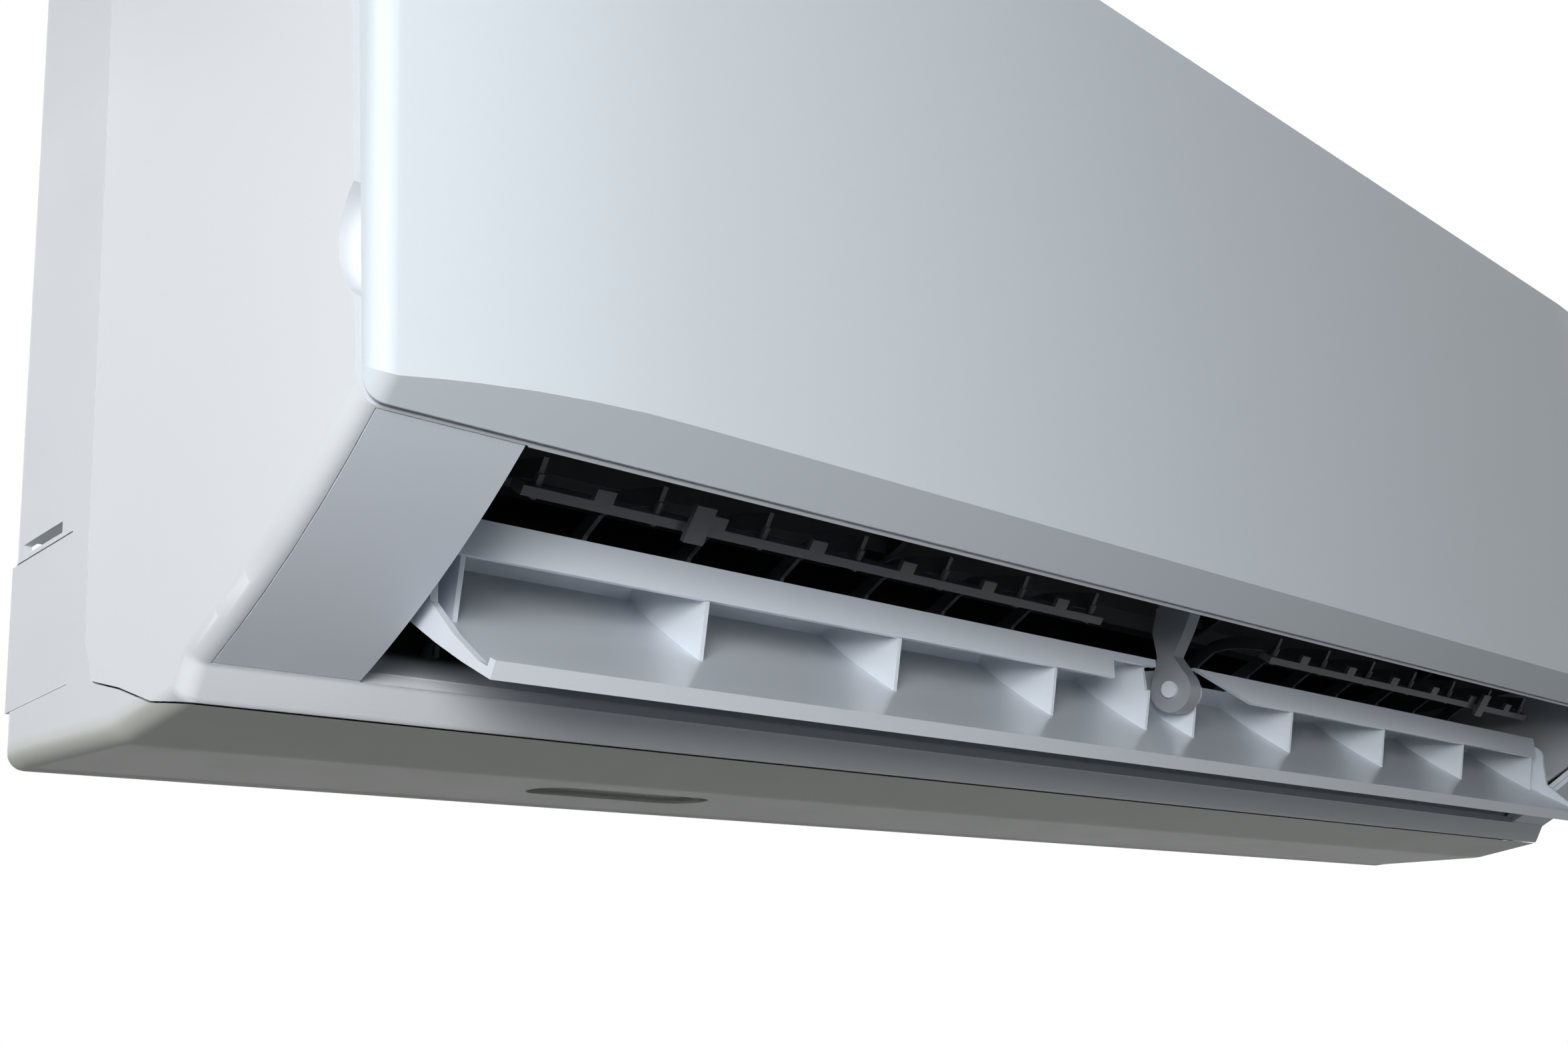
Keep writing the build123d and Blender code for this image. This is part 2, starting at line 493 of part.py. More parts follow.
with BuildPart() as rear_chassis:
    add(body_solid.part)
    add(body_hollow.part, mode=Mode.SUBTRACT)
    with BuildSketch(side(-HALF - 1.0)):
        add(in_front_of_seam())
    extrude(amount=UNIT_WIDTH + 2.0, mode=Mode.SUBTRACT)
    # the back is set in behind the mounting plate
    with BuildSketch(side(-BACK_WINDOW_HALF)):
        add(profile((-5.0, BACK_WINDOW[0]), (5.0, BACK_WINDOW[0]), (5.0, BACK_WINDOW[1]), (-5.0, BACK_WINDOW[1])))
    extrude(amount=2 * BACK_WINDOW_HALF, mode=Mode.SUBTRACT)
    with BuildSketch(side(-BACK_WINDOW_HALF - WALL)):
        add(wall_along(
            WALL, (BACK_EDGE_DEPTH + 1.0, BACK_WINDOW[1] + WALL / 2),
            (BACK_WALL_DEPTH + WALL / 2, BACK_WINDOW[1] + WALL / 2),
            (BACK_WALL_DEPTH + WALL / 2, BACK_WINDOW[0] - WALL / 2),
        ))
    extrude(amount=2 * (BACK_WINDOW_HALF + WALL))
    for rib_left in (-BACK_WINDOW_HALF - WALL, BACK_WINDOW_HALF):
        with BuildSketch(side(rib_left)):
            add(profile(
                (BACK_EDGE_DEPTH + 1.0, RECESS_TOP + 0.5), (BACK_WALL_DEPTH + WALL, RECESS_TOP + 0.5),
                (BACK_WALL_DEPTH + WALL, BACK_WINDOW[1] + WALL), (BACK_EDGE_DEPTH + 1.0, BACK_WINDOW[1] + WALL),
            ))
        extrude(amount=WALL)
    # pipe recess along the lower back, open to the wall and at both ends
    with BuildSketch(side(-HALF + WALL)):
        add(profile((-5.0, 10.0), (5.0, 10.0), (5.0, RECESS_TOP), (-5.0, RECESS_TOP)))
    extrude(amount=UNIT_WIDTH - 2 * WALL, mode=Mode.SUBTRACT)
    with BuildSketch(side(-HALF + WALL - 0.3)):
        add(wall_along(
            WALL, (BACK_EDGE_DEPTH + 0.5, RECESS_TOP + WALL / 2), (RECESS_DEPTH + WALL / 2, RECESS_TOP + WALL / 2),
            (RECESS_DEPTH + WALL / 2, UNDER_CREASE[1] + 3.0),
        ))
    extrude(amount=UNIT_WIDTH - 2 * WALL + 0.6)
    for knock_left in (-HALF - 1.0, HALF - WALL - 1.0):
        with BuildSketch(side(knock_left)):
            add(profile(
                (-5.0, KNOCKOUT_LOW), (KNOCKOUT_DEPTH, KNOCKOUT_LOW), (KNOCKOUT_DEPTH, KNOCKOUT_HIGH),
                (-5.0, KNOCKOUT_HIGH),
            ))
            add(profile(
                (9.0, SLOT_LOW), (KNOCKOUT_DEPTH - 7.0, SLOT_LOW), (KNOCKOUT_DEPTH - 7.0, SLOT_HIGH),
                (9.0, SLOT_HIGH),
            ))
        extrude(amount=WALL + 2.0, mode=Mode.SUBTRACT)
    # scroll behind the fan, which runs on as the floor of the outlet, and the rear gutter
    with BuildSketch(side(-DUCT_HALF - END_WALL)):
        add(wall_along(SCROLL_WALL, *SCROLL))
        add(wall_along(SCROLL_WALL, *GUTTER))
    extrude(amount=2 * (DUCT_HALF + END_WALL))
    for wall_left in (-DUCT_HALF - END_WALL, DUCT_HALF):
        with BuildSketch(side(wall_left)):
            add(profile(
                (109.5, 19.0), (150.2, 38.6), (179.0, 58.6), (150.0, 74.0), (137.0, 91.0), (137.0, 107.5),
                (146.0, 110.0), (146.0, CHAMBER_TOP), (11.0, CHAMBER_TOP), *reversed(BULKHEAD_FOOT),
            ))
        extrude(amount=END_WALL)
    # wall at the motor end of the fan, over a roof across the flared duct
    with BuildSketch(side(CHAMBER_RIGHT)):
        add(profile(
            (51.0, DUCT_ROOF), (136.4, DUCT_ROOF), (136.4, 107.5), (146.0, 110.0), (146.0, CHAMBER_TOP),
            (54.0, CHAMBER_TOP), (47.0, 128.0),
        ))
    extrude(amount=END_WALL)
    with BuildSketch(side(CHAMBER_RIGHT)):
        add(profile(
            (51.0, DUCT_ROOF), (136.4, DUCT_ROOF), (136.4, DUCT_ROOF + ROOF_WALL), (51.0, DUCT_ROOF + ROOF_WALL),
        ))
    extrude(amount=DUCT_HALF + END_WALL - CHAMBER_RIGHT)
    # two saddle ribs that the fan motor lies in
    for saddle_left in (MOTOR_LEFT + 8.0, MOTOR_RIGHT - 11.0):
        with BuildSketch(side(saddle_left)):
            add(profile(
                (51.0, DUCT_ROOF + 1.0), (136.4, DUCT_ROOF + 1.0), (136.4, FAN_AXIS[1] - 10.0),
                (48.0, FAN_AXIS[1] - 10.0),
            ))
            with Locations(at(*FAN_AXIS)):
                Circle(MOTOR_RADIUS + RUNNING, mode=Mode.SUBTRACT)
        extrude(amount=3.0)
    # hook bars that hang on the mounting plate
    for hook_x in HOOK_POSITIONS:
        with BuildSketch(side(hook_x - HOOK_WIDTH / 2)):
            add(wall_along(
                2.0, (BACK_WALL_DEPTH + 1.0, HOOK_LEDGE + 1.0), (4.5, HOOK_LEDGE + 1.0), (4.5, HOOK_LEDGE - 5.0)))
        extrude(amount=HOOK_WIDTH)
    # shaft holes, louver bearings and the vanes' sockets
    with BuildSketch(side(-DUCT_HALF - END_WALL - 1.0)):
        with Locations(at(*FAN_AXIS)):
            Circle(HOLDER_RADIUS + 0.2)
    extrude(amount=END_WALL + 2.0, mode=Mode.SUBTRACT)
    with BuildSketch(side(CHAMBER_RIGHT - 1.0)):
        with Locations(at(*FAN_AXIS)):
            Circle(SHAFT_RADIUS + 5.0)
    extrude(amount=END_WALL + 2.0, mode=Mode.SUBTRACT)
    for bearing_left in (-DUCT_HALF - END_WALL - 1.0, DUCT_HALF - 1.0):
        with BuildSketch(side(bearing_left)):
            with Locations(at(*LOUVER_PIVOT)):
                Circle(LOUVER_PIN_RADIUS + RUNNING)
        extrude(amount=END_WALL + 2.0, mode=Mode.SUBTRACT)
    with BuildSketch(side(-DUCT_HALF)):
        add(profile(*VANE_RAIL))
    extrude(amount=2 * DUCT_HALF)
    for group in (-1, 1):
        for number in range(VANES_PER_SIDE):
            vane_x = group * (VANE_FIRST + number * VANE_PITCH)
            with BuildSketch(vane_plane(vane_x).offset(-12.0)):
                Circle(VANE_PIN_RADIUS + RUNNING)
            extrude(amount=16.0, mode=Mode.SUBTRACT)
    # dark slot under the unit
    with BuildSketch(Plane.XY.offset(-PLATE_CENTRE_HEIGHT - 1.0)):
        with Locations(((UNDER_SLOT[0] + UNDER_SLOT[1]) / 2, -(UNDER_SLOT[2] + UNDER_SLOT[3]) / 2)):
            SlotOverall(UNDER_SLOT[1] - UNDER_SLOT[0], UNDER_SLOT[3] - UNDER_SLOT[2])
    extrude(amount=5.5, mode=Mode.SUBTRACT)
save(rear_chassis.part, "rear_chassis")

# ---- mounting plate ----------------------------------------------------------
PLATE_WIDTH = 560.0
PLATE_MARGIN = 5.0              # below the upper edge of the set-in back
PLATE_HEIGHT = 2 * (BACK_WINDOW[1] - PLATE_MARGIN - PLATE_CENTRE_HEIGHT)
PLATE_SHEET = 1.5
PLATE_HOLE_RADIUS = 2.75
PLATE_HOLE_SPACING_X = 400.0
PLATE_HOLE_SPACING_Z = 100.0
PLATE_FLANGE = 3.5
HOOK_REACH = 8.4

with BuildPart() as mounting_plate:
    with BuildSketch(Plane.XZ):
        Rectangle(PLATE_WIDTH, PLATE_HEIGHT)
        with GridLocations(PLATE_HOLE_SPACING_X, PLATE_HOLE_SPACING_Z, 2, 2):
            Circle(PLATE_HOLE_RADIUS, mode=Mode.SUBTRACT)
        with Locations((-110.0, -20.0), (110.0, -20.0)):
            Rectangle(90.0, 70.0, mode=Mode.SUBTRACT)
    extrude(amount=PLATE_SHEET)
    # stiffening flanges along the top and the bottom
    for flange_z in (PLATE_HEIGHT / 2 - PLATE_SHEET / 2, -PLATE_HEIGHT / 2 + PLATE_SHEET / 2):
        with BuildSketch(Plane.XZ):
            with Locations((0.0, flange_z)):
                Rectangle(PLATE_WIDTH - 20.0, PLATE_SHEET)
        extrude(amount=PLATE_SHEET + PLATE_FLANGE)
    for hook_x in HOOK_POSITIONS:
        with BuildSketch(side(hook_x - HOOK_WIDTH / 2 + 3.0)):
            add(profile((0.0, HOOK_LEDGE - 7.0), (HOOK_REACH, HOOK_LEDGE - 7.0), (HOOK_REACH, HOOK_LEDGE),
                        (HOOK_REACH - PLATE_SHEET, HOOK_LEDGE), (HOOK_REACH - PLATE_SHEET, HOOK_LEDGE - 5.5),
                        (0.0, HOOK_LEDGE - 5.5)))
        extrude(amount=HOOK_WIDTH - 6.0)
save(mounting_plate.part, "mounting_plate")

# ---- drain pan: roof of the outlet and trough under the coil ------------------
PAN_HALF = DUCT_HALF - 0.3
PAN_WALL = 2.2
PAN_LIP = (180.3, 63.4)
PAN_KNEE = (150.0, 77.5)
PAN_REAR = 138.6
TROUGH_LEVEL = 92.9
TROUGH_FRONT = 181.4
TROUGH_TOP = 112.0
TROUGH_REAR_TOP = 102.0

with BuildPart() as drain_pan:
    with BuildSketch(side(-PAN_HALF)):
        add(wall_along(PAN_WALL, PAN_LIP, PAN_KNEE, (PAN_REAR, 91.5), (PAN_REAR, TROUGH_REAR_TOP)))
        add(wall_along(PAN_WALL, (PAN_REAR, TROUGH_LEVEL), (TROUGH_FRONT, TROUGH_LEVEL)))
        add(wall_along(PAN_WALL, (TROUGH_FRONT, PAN_LIP[1] - 0.6), (TROUGH_FRONT, TROUGH_TOP)))
        # thin steps behind the lip
        for step in (0.25, 0.5):
            step_depth = PAN_LIP[0] + (PAN_KNEE[0] - PAN_LIP[0]) * step
            step_height = PAN_LIP[1] + (PAN_KNEE[1] - PAN_LIP[1]) * step
            add(profile(
                (step_depth - 1.2, step_height), (step_depth - 1.2, step_height - 3.6),
                (step_depth + 0.4, step_height - 3.6), (step_depth + 0.4, step_height),
            ))
    extrude(amount=2 * PAN_HALF)
    for cap_left in (-PAN_HALF, PAN_HALF - 1.8):
        with BuildSketch(side(cap_left)):
            add(profile(
                (PAN_REAR, TROUGH_LEVEL), (TROUGH_FRONT, TROUGH_LEVEL), (TROUGH_FRONT, TROUGH_TOP),
                (PAN_REAR, TROUGH_REAR_TOP),
            ))
        extrude(amount=1.8)
    with BuildSketch(Plane.XZ.offset(TROUGH_FRONT - 3.0)):
        with Locations(*[(x, CASE_SCREW_HEIGHT - PLATE_CENTRE_HEIGHT) for x in CASE_SCREWS_X]):
            Circle(CASE_SCREW_RADIUS)
    extrude(amount=6.0, mode=Mode.SUBTRACT)
save(drain_pan.part, "drain_pan")

with BuildPart() as case_screws:
    screw_seat = Plane.XZ.offset(case_face(CASE_SCREW_HEIGHT) + 0.1)
    screw_level = CASE_SCREW_HEIGHT - PLATE_CENTRE_HEIGHT
    with Locations(*[screw_seat * Location((x, screw_level)) for x in CASE_SCREWS_X]):
        Cylinder(3.8, 2.0, align=(Align.CENTER, Align.CENTER, Align.MIN))
        Cylinder(CASE_SCREW_RADIUS, 9.0, align=(Align.CENTER, Align.CENTER, Align.MAX))
save(case_screws.part, "case_screws")

# ---- heat exchanger ------------------------------------------------------------
END_PLATE = 1.0
PLATE_MARGIN_IN = 0.2           # how far an end plate stays inside the fins' outline
TUBE_RADIUS = 3.5
TUBE_SIDES = 6
BEND_REACH = 7.0
COIL_TOP = UNIT_HEIGHT - 17.5
COIL_BLOCKS = (
    ("coil_lower", ((153.0, 94.4), (179.0, 94.4), (179.0, 182.1), (153.0, 172.75)), (0.36, 0.62, 0.68, 0.94)),
    ("coil_upper", ((153.2, 173.1), (179.0, 182.4), (105.0, COIL_TOP), (105.0, COIL_TOP - 39.5)),
     (0.10, 0.30, 0.36, 0.56, 0.62, 0.82)),
    ("coil_rear", ((66.1, 177.5), (48.0, 190.0), (104.7, COIL_TOP + 1.0), (104.3, COIL_TOP - 38.0)),
     (0.14, 0.38, 0.46, 0.70)),
)


def between(first, second, share):
    """Side-profile point on the line from first to second."""
    return (first[0] + (second[0] - first[0]) * share, first[1] + (second[1] - first[1]) * share)


for coil_name, coil_outline, tube_shares in COIL_BLOCKS:
    low_end = between(coil_outline[0], coil_outline[1], 0.5)
    high_end = between(coil_outline[3], coil_outline[2], 0.5)
    tubes = [between(low_end, high_end, share) for share in tube_shares]
    with BuildPart() as coil_block:
        with BuildSketch(side(COIL_LEFT + END_PLATE)):
            add(profile(*coil_outline))
        extrude(amount=COIL_RIGHT - COIL_LEFT - 2 * END_PLATE)
        for plate_left in (COIL_LEFT, COIL_RIGHT - END_PLATE):
            with BuildSketch(side(plate_left)):
                add(profile(*coil_outline))
                offset(amount=-PLATE_MARGIN_IN, mode=Mode.REPLACE)
            extrude(amount=END_PLATE)
        # return bends outside the end plates, each from one tube to the next
        for first, second in zip(tubes[0::2], tubes[1::2]):
            for end_x, outward in ((COIL_LEFT + END_PLATE / 2, -1), (COIL_RIGHT - END_PLATE / 2, 1)):
                shoulder = end_x + outward * BEND_REACH * 0.6
                crown = end_x + outward * BEND_REACH
                with BuildLine() as bend_path:
                    Polyline(
                        place(end_x, *first), place(shoulder, *first), place(crown, *between(first, second, 0.25)),
                        place(crown, *between(first, second, 0.75)), place(shoulder, *second), place(end_x, *second),
                    )
                with BuildSketch(Plane(origin=place(end_x, *first), z_dir=(outward, 0, 0))):
                    RegularPolygon(TUBE_RADIUS, TUBE_SIDES)
                sweep(path=bend_path.line, transition=Transition.RIGHT)
    save(coil_block.part, coil_name)

# ---- cross-flow fan, its shafts, bearing and motor -----------------------------
BLADE_DEPTH = 8.5
BLADE_WALL = 1.1
BLADE_LEAN = 38.0
DISC_WALL = 3.0
HUB_RADIUS = 9.0
STUB_RADIUS = 3.0
SHAFT_IN_HUB = 12.0

disc_pitch = (FAN_RIGHT - FAN_LEFT - DISC_WALL) / (FAN_DISCS - 1)
with BuildPart() as cross_flow_fan:
    with BuildSketch(side(FAN_LEFT)):
        with Locations(at(*FAN_AXIS)):
            with PolarLocations(FAN_RADIUS - BLADE_DEPTH / 2 - 0.4, FAN_BLADES):
                Rectangle(BLADE_DEPTH, BLADE_WALL, rotation=BLADE_LEAN)
    extrude(amount=FAN_RIGHT - FAN_LEFT)
    for disc in range(FAN_DISCS):
        with BuildSketch(side(FAN_LEFT + disc * disc_pitch)):
            with Locations(at(*FAN_AXIS)):
                Circle(FAN_RADIUS)
        extrude(amount=DISC_WALL)
    with BuildSketch(side(FAN_RIGHT - SHAFT_IN_HUB)):
        with Locations(at(*FAN_AXIS)):
            Circle(HUB_RADIUS)
    extrude(amount=SHAFT_IN_HUB)
    with BuildSketch(side(FAN_LEFT)):
        with Locations(at(*FAN_AXIS)):
            Circle(HUB_RADIUS)
    extrude(amount=SHAFT_IN_HUB)
    with BuildSketch(side(FAN_RIGHT - SHAFT_IN_HUB - 1.0)):
        with Locations(at(*FAN_AXIS)):
            Circle(SHAFT_RADIUS)
    extrude(amount=SHAFT_IN_HUB + 2.0, mode=Mode.SUBTRACT)
    with BuildSketch(side(FAN_LEFT - 1.0)):
        with Locations(at(*FAN_AXIS)):
            Circle(STUB_RADIUS)
    extrude(amount=SHAFT_IN_HUB + 2.0, mode=Mode.SUBTRACT)
save(cross_flow_fan.part, "cross_flow_fan")

HOLDER_RIGHT = FAN_LEFT - 3.0
HOLDER_LEFT = FAN_LEFT - 16.0
STUB_LEFT = FAN_LEFT - 18.0
with BuildPart() as fan_stub:
    with BuildSketch(side(STUB_LEFT)):
        with Locations(at(*FAN_AXIS)):
            Circle(STUB_RADIUS)
    extrude(amount=FAN_LEFT + SHAFT_IN_HUB - STUB_LEFT)
save(fan_stub.part, "fan_stub_shaft")

with BuildPart() as fan_bearing:
    with BuildSketch(side(HOLDER_LEFT)):
        with Locations(at(*FAN_AXIS)):
            Circle(HOLDER_RADIUS)
    extrude(amount=HOLDER_RIGHT - HOLDER_LEFT)
    with BuildSketch(side(HOLDER_LEFT)):
        with Locations(at(*FAN_AXIS)):
            Circle(HOLDER_RADIUS + 3.0)
    extrude(amount=-DUCT_HALF - END_WALL - 0.3 - HOLDER_LEFT)
    with BuildSketch(side(HOLDER_LEFT - 1.0)):
        with Locations(at(*FAN_AXIS)):
            Circle(STUB_RADIUS + RUNNING)
    extrude(amount=HOLDER_RIGHT - HOLDER_LEFT + 2.0, mode=Mode.SUBTRACT)
save(fan_bearing.part, "fan_bearing")

with BuildPart() as motor_shaft:
    with BuildSketch(side(FAN_RIGHT - SHAFT_IN_HUB + 0.5)):
        with Locations(at(*FAN_AXIS)):
            Circle(SHAFT_RADIUS)
    extrude(amount=MOTOR_RIGHT + 4.0 - FAN_RIGHT + SHAFT_IN_HUB)
save(motor_shaft.part, "motor_shaft")

MOTOR_BOSS = 5.0
MOTOR_BOSS_RADIUS = 12.0
with BuildPart() as fan_motor:
    with BuildSketch(side(MOTOR_LEFT)):
        with Locations(at(*FAN_AXIS)):
            Circle(MOTOR_RADIUS)
    extrude(amount=MOTOR_RIGHT - MOTOR_LEFT)
    chamfer(fan_motor.edges().filter_by(GeomType.CIRCLE), 4.0)
    with BuildSketch(side(MOTOR_LEFT - MOTOR_BOSS)):
        with Locations(at(*FAN_AXIS)):
            Circle(MOTOR_BOSS_RADIUS)
    extrude(amount=MOTOR_RIGHT - MOTOR_LEFT + 2 * MOTOR_BOSS)
    with BuildSketch(side(MOTOR_LEFT - MOTOR_BOSS - 1.0)):
        with Locations(at(*FAN_AXIS)):
            Circle(SHAFT_RADIUS + RUNNING)
    extrude(amount=MOTOR_RIGHT - MOTOR_LEFT + 2 * MOTOR_BOSS + 2.0, mode=Mode.SUBTRACT)
save(fan_motor.part, "fan_motor")

CLAMP_LEFT = MOTOR_LEFT + 15.0
CLAMP_WIDTH = 20.0
CLAMP_SHEET = 1.6
clamp_inner = MOTOR_RADIUS + 0.1
clamp_middle = clamp_inner + CLAMP_SHEET / 2
with BuildPart() as motor_clamp:
    with BuildSketch(side(CLAMP_LEFT)):
        with BuildLine():
            foot = DUCT_ROOF + ROOF_WALL + CLAMP_SHEET / 2
            Polyline(
                at(FAN_AXIS[0] - clamp_middle - 6.0, foot), at(FAN_AXIS[0] - clamp_middle, foot),
                at(FAN_AXIS[0] - clamp_middle, FAN_AXIS[1]),
            )
            ThreePointArc(
                at(FAN_AXIS[0] - clamp_middle, FAN_AXIS[1]), at(FAN_AXIS[0], FAN_AXIS[1] + clamp_middle),
                at(FAN_AXIS[0] + clamp_middle, FAN_AXIS[1]),
            )
            Line(at(FAN_AXIS[0] + clamp_middle, FAN_AXIS[1]), at(FAN_AXIS[0] + clamp_middle, DUCT_ROOF + ROOF_WALL))
        trace(line_width=CLAMP_SHEET)
    extrude(amount=CLAMP_WIDTH)
save(motor_clamp.part, "motor_clamp")

# ---- louver: curved flap with ribs and a guide strip, drawn shut and then opened
LOUVER_HALF = OUTLET_HALF - LOUVER_END_GAP
LOUVER_EDGE_GAP = 2.4
LOUVER_EAR = 6.5
EAR_WALL = 2.4
PIN_LENGTH = 3.6
DRIVE_PIN_LENGTH = 9.0
RIB_END_SPACE = 6.0
RIBS_PER_SIDE = int((LOUVER_HALF - RIB_END_SPACE) // RIB_PITCH)
RIB_POSITIONS = [index * RIB_PITCH for index in range(-RIBS_PER_SIDE, RIBS_PER_SIDE + 1) if index != 0]
LEFT_CHEEK = -26.0              # the arm stands between two closer ribs
RIGHT_CHEEK = 9.0
RIB_FOOT_SHARE = 0.47
STRIP_END_SPACE = 9.0
STRIP_KEPT = 3.0                # what is left of the strip's height beside the arm
STRIP_CUT = (-52.0, 7.0, 62.0)
END_RISE = ((147.7, 18.0), (138.2, 29.0))
REAR_RISE = (104.5, 60.0)


def opened(depth, height):
    """Side-profile point of the shut louver after it has turned open."""
    turn = radians(LOUVER_OPEN)
    ahead, above = depth - LOUVER_PIVOT[0], height - LOUVER_PIVOT[1]
    return (
        LOUVER_PIVOT[0] + ahead * cos(turn) + above * sin(turn),
        LOUVER_PIVOT[1] - ahead * sin(turn) + above * cos(turn),
    )


def flap_point(share, inset):
    """Point of the opened flap: share 0 is its front edge, 1 its rear edge."""
    return opened(*arc_point(ARC_START + (ARC_END - ARC_START) * share, inset))


flap_middle = FLAP_INSET + LOUVER_WALL / 2
edge_turn = degrees(LOUVER_EDGE_GAP / ARC_RADIUS)
lip_turn = degrees((LOUVER_EDGE_GAP + LOUVER_WALL) / ARC_RADIUS)
flap_face = FLAP_INSET + 0.5
lip_top = FLAP_INSET + LOUVER_WALL + LOUVER_LIP

with BuildPart() as shut_flap:
    with BuildSketch(side(-LOUVER_HALF)):
        add(arc_band(FLAP_INSET, FLAP_INSET + LOUVER_WALL, LOUVER_EDGE_GAP))
    extrude(amount=2 * LOUVER_HALF)
    # lip turned up along the front edge
    with BuildSketch(side(-LOUVER_HALF)):
        with BuildLine():
            Polyline(
                arc_at(ARC_START - edge_turn, flap_face), arc_at(ARC_START - edge_turn, lip_top),
                arc_at(ARC_START - lip_turn, lip_top), arc_at(ARC_START - lip_turn, flap_face + 0.3), close=True,
            )
        make_face()
    extrude(amount=2 * LOUVER_HALF)

rear_edge = flap_point(0.955, flap_middle)
flap_foot = [flap_point(share, flap_middle) for share in (RIB_FOOT_SHARE, 0.59, 0.71, 0.83)]

with BuildPart() as louver:
    add(shut_flap.part.rotate(Axis(place(0.0, *LOUVER_PIVOT), (1, 0, 0)), LOUVER_OPEN))
    # the rear edge rises towards the vanes
    with BuildSketch(side(-LOUVER_HALF)):
        add(wall_along(RIB_WALL, rear_edge, REAR_RISE))
    extrude(amount=2 * LOUVER_HALF)
    # ribs between the flap and the guide strip
    for rib_x in [*RIB_POSITIONS, LEFT_CHEEK, RIGHT_CHEEK]:
        with BuildSketch(side(rib_x - RIB_WALL / 2)):
            add(profile(STRIP_LOW, *flap_foot, rear_edge, REAR_RISE, STRIP_HIGH))
        extrude(amount=RIB_WALL)
    with BuildSketch(side(-LOUVER_HALF + STRIP_END_SPACE)):
        add(wall_along(STRIP_WALL, STRIP_LOW, STRIP_HIGH))
    extrude(amount=2 * (LOUVER_HALF - STRIP_END_SPACE))
    # the strip is cut away round the arm
    cut_low = STRIP_LOW[1] - 2.0 - PLATE_CENTRE_HEIGHT
    cut_high = STRIP_HIGH[1] + 2.0 - PLATE_CENTRE_HEIGHT
    kept = STRIP_HIGH[1] - STRIP_KEPT - PLATE_CENTRE_HEIGHT
    with BuildSketch(Plane.XZ.offset(STRIP_LOW[0] - STRIP_WALL)):
        with BuildLine():
            Polyline(
                (STRIP_CUT[0], cut_low), (STRIP_CUT[0], kept), (LEFT_CHEEK + 4.0, kept), (LEFT_CHEEK + 4.0, cut_high),
                (STRIP_CUT[1], cut_high), (STRIP_CUT[1], kept + STRIP_KEPT), (STRIP_CUT[2], cut_low), close=True,
            )
        make_face()
    extrude(amount=2 * STRIP_WALL + 1.0, mode=Mode.SUBTRACT)
    # walls at the ends and the cheek beside the arm carry the pins
    for wall_left in (-LOUVER_HALF, LOUVER_HALF - EAR_WALL):
        with BuildSketch(side(wall_left)):
            with Locations(at(*LOUVER_PIVOT)):
                Circle(LOUVER_EAR)
            add(profile(
                (LOUVER_PIVOT[0] + LOUVER_EAR - 0.4, LOUVER_PIVOT[1]), END_RISE[1], END_RISE[0],
                *[flap_point(share, flap_middle) for share in (0.03, 0.15, 0.27, 0.39, 0.51, 0.63, 0.75)],
                (LOUVER_PIVOT[0] - LOUVER_EAR + 0.4, LOUVER_PIVOT[1]),
            ))
        extrude(amount=EAR_WALL)
    with BuildSketch(side(RIGHT_CHEEK - RIB_WALL / 2)):
        with Locations(at(*LOUVER_PIVOT)):
            Circle(LOUVER_EAR)
    extrude(amount=RIB_WALL)
    with BuildSketch(side(-LOUVER_HALF - LOUVER_END_GAP - PIN_LENGTH)):
        with Locations(at(*LOUVER_PIVOT)):
            Circle(LOUVER_PIN_RADIUS)
    extrude(amount=LOUVER_END_GAP + PIN_LENGTH + EAR_WALL)
    with BuildSketch(side(LOUVER_HALF - EAR_WALL)):
        with Locations(at(*LOUVER_PIVOT)):
            Circle(LOUVER_PIN_RADIUS)
    extrude(amount=LOUVER_END_GAP + EAR_WALL + DRIVE_PIN_LENGTH)
    with BuildSketch(side(-ARM_WALL / 2 - 1.4)):
        with Locations(at(*LOUVER_PIVOT)):
            Circle(LOUVER_PIN_RADIUS)
    extrude(amount=RIGHT_CHEEK + ARM_WALL / 2 + 1.4)
save(louver.part, "louver")

# ---- arm that carries the middle of the louver ----------------------------------
ARM_OUTLINE = (
    (124.8, 49.4), (129.0, 59.5), (128.4, 70.0), (132.0, 79.4), (140.8, 86.5), (148.9, 76.5), (143.6, 68.0),
    (136.6, 58.5), (141.2, 49.4),
)

with BuildPart() as louver_arm:
    with BuildSketch(side(-ARM_WALL / 2)):
        with Locations(at(*LOUVER_PIVOT)):
            Circle(ARM_EYE_RADIUS)
        add(profile(*ARM_OUTLINE))
        with Locations(at(*LOUVER_PIVOT)):
            Circle(LOUVER_PIN_RADIUS + RUNNING, mode=Mode.SUBTRACT)
    extrude(amount=ARM_WALL)
save(louver_arm.part, "louver_arm")

# ---- stepping motor that turns the louver ------------------------------------------
STEPPER_LEFT = DUCT_HALF + END_WALL + 0.3
STEPPER_LENGTH = 17.0
STEPPER_RADIUS = 14.0
STEPPER_EAR_WALL = 1.6
STEPPER_CENTRE = (LOUVER_PIVOT[0] - 4.0, LOUVER_PIVOT[1] + 4.0)
with BuildPart() as louver_motor:
    with BuildSketch(side(STEPPER_LEFT)):
        with Locations(at(*STEPPER_CENTRE)):
            Circle(STEPPER_RADIUS)
    extrude(amount=STEPPER_LENGTH)
    with BuildSketch(side(STEPPER_LEFT)):
        with Locations(at(*STEPPER_CENTRE)):
            Rectangle(40.0, 8.0, rotation=-35.0)
    extrude(amount=STEPPER_EAR_WALL)
    with BuildSketch(side(STEPPER_LEFT - 1.0)):
        with Locations(at(*LOUVER_PIVOT)):
            Circle(LOUVER_PIN_RADIUS + RUNNING)
    extrude(amount=DRIVE_PIN_LENGTH + 1.0, mode=Mode.SUBTRACT)
save(louver_motor.part, "louver_motor")

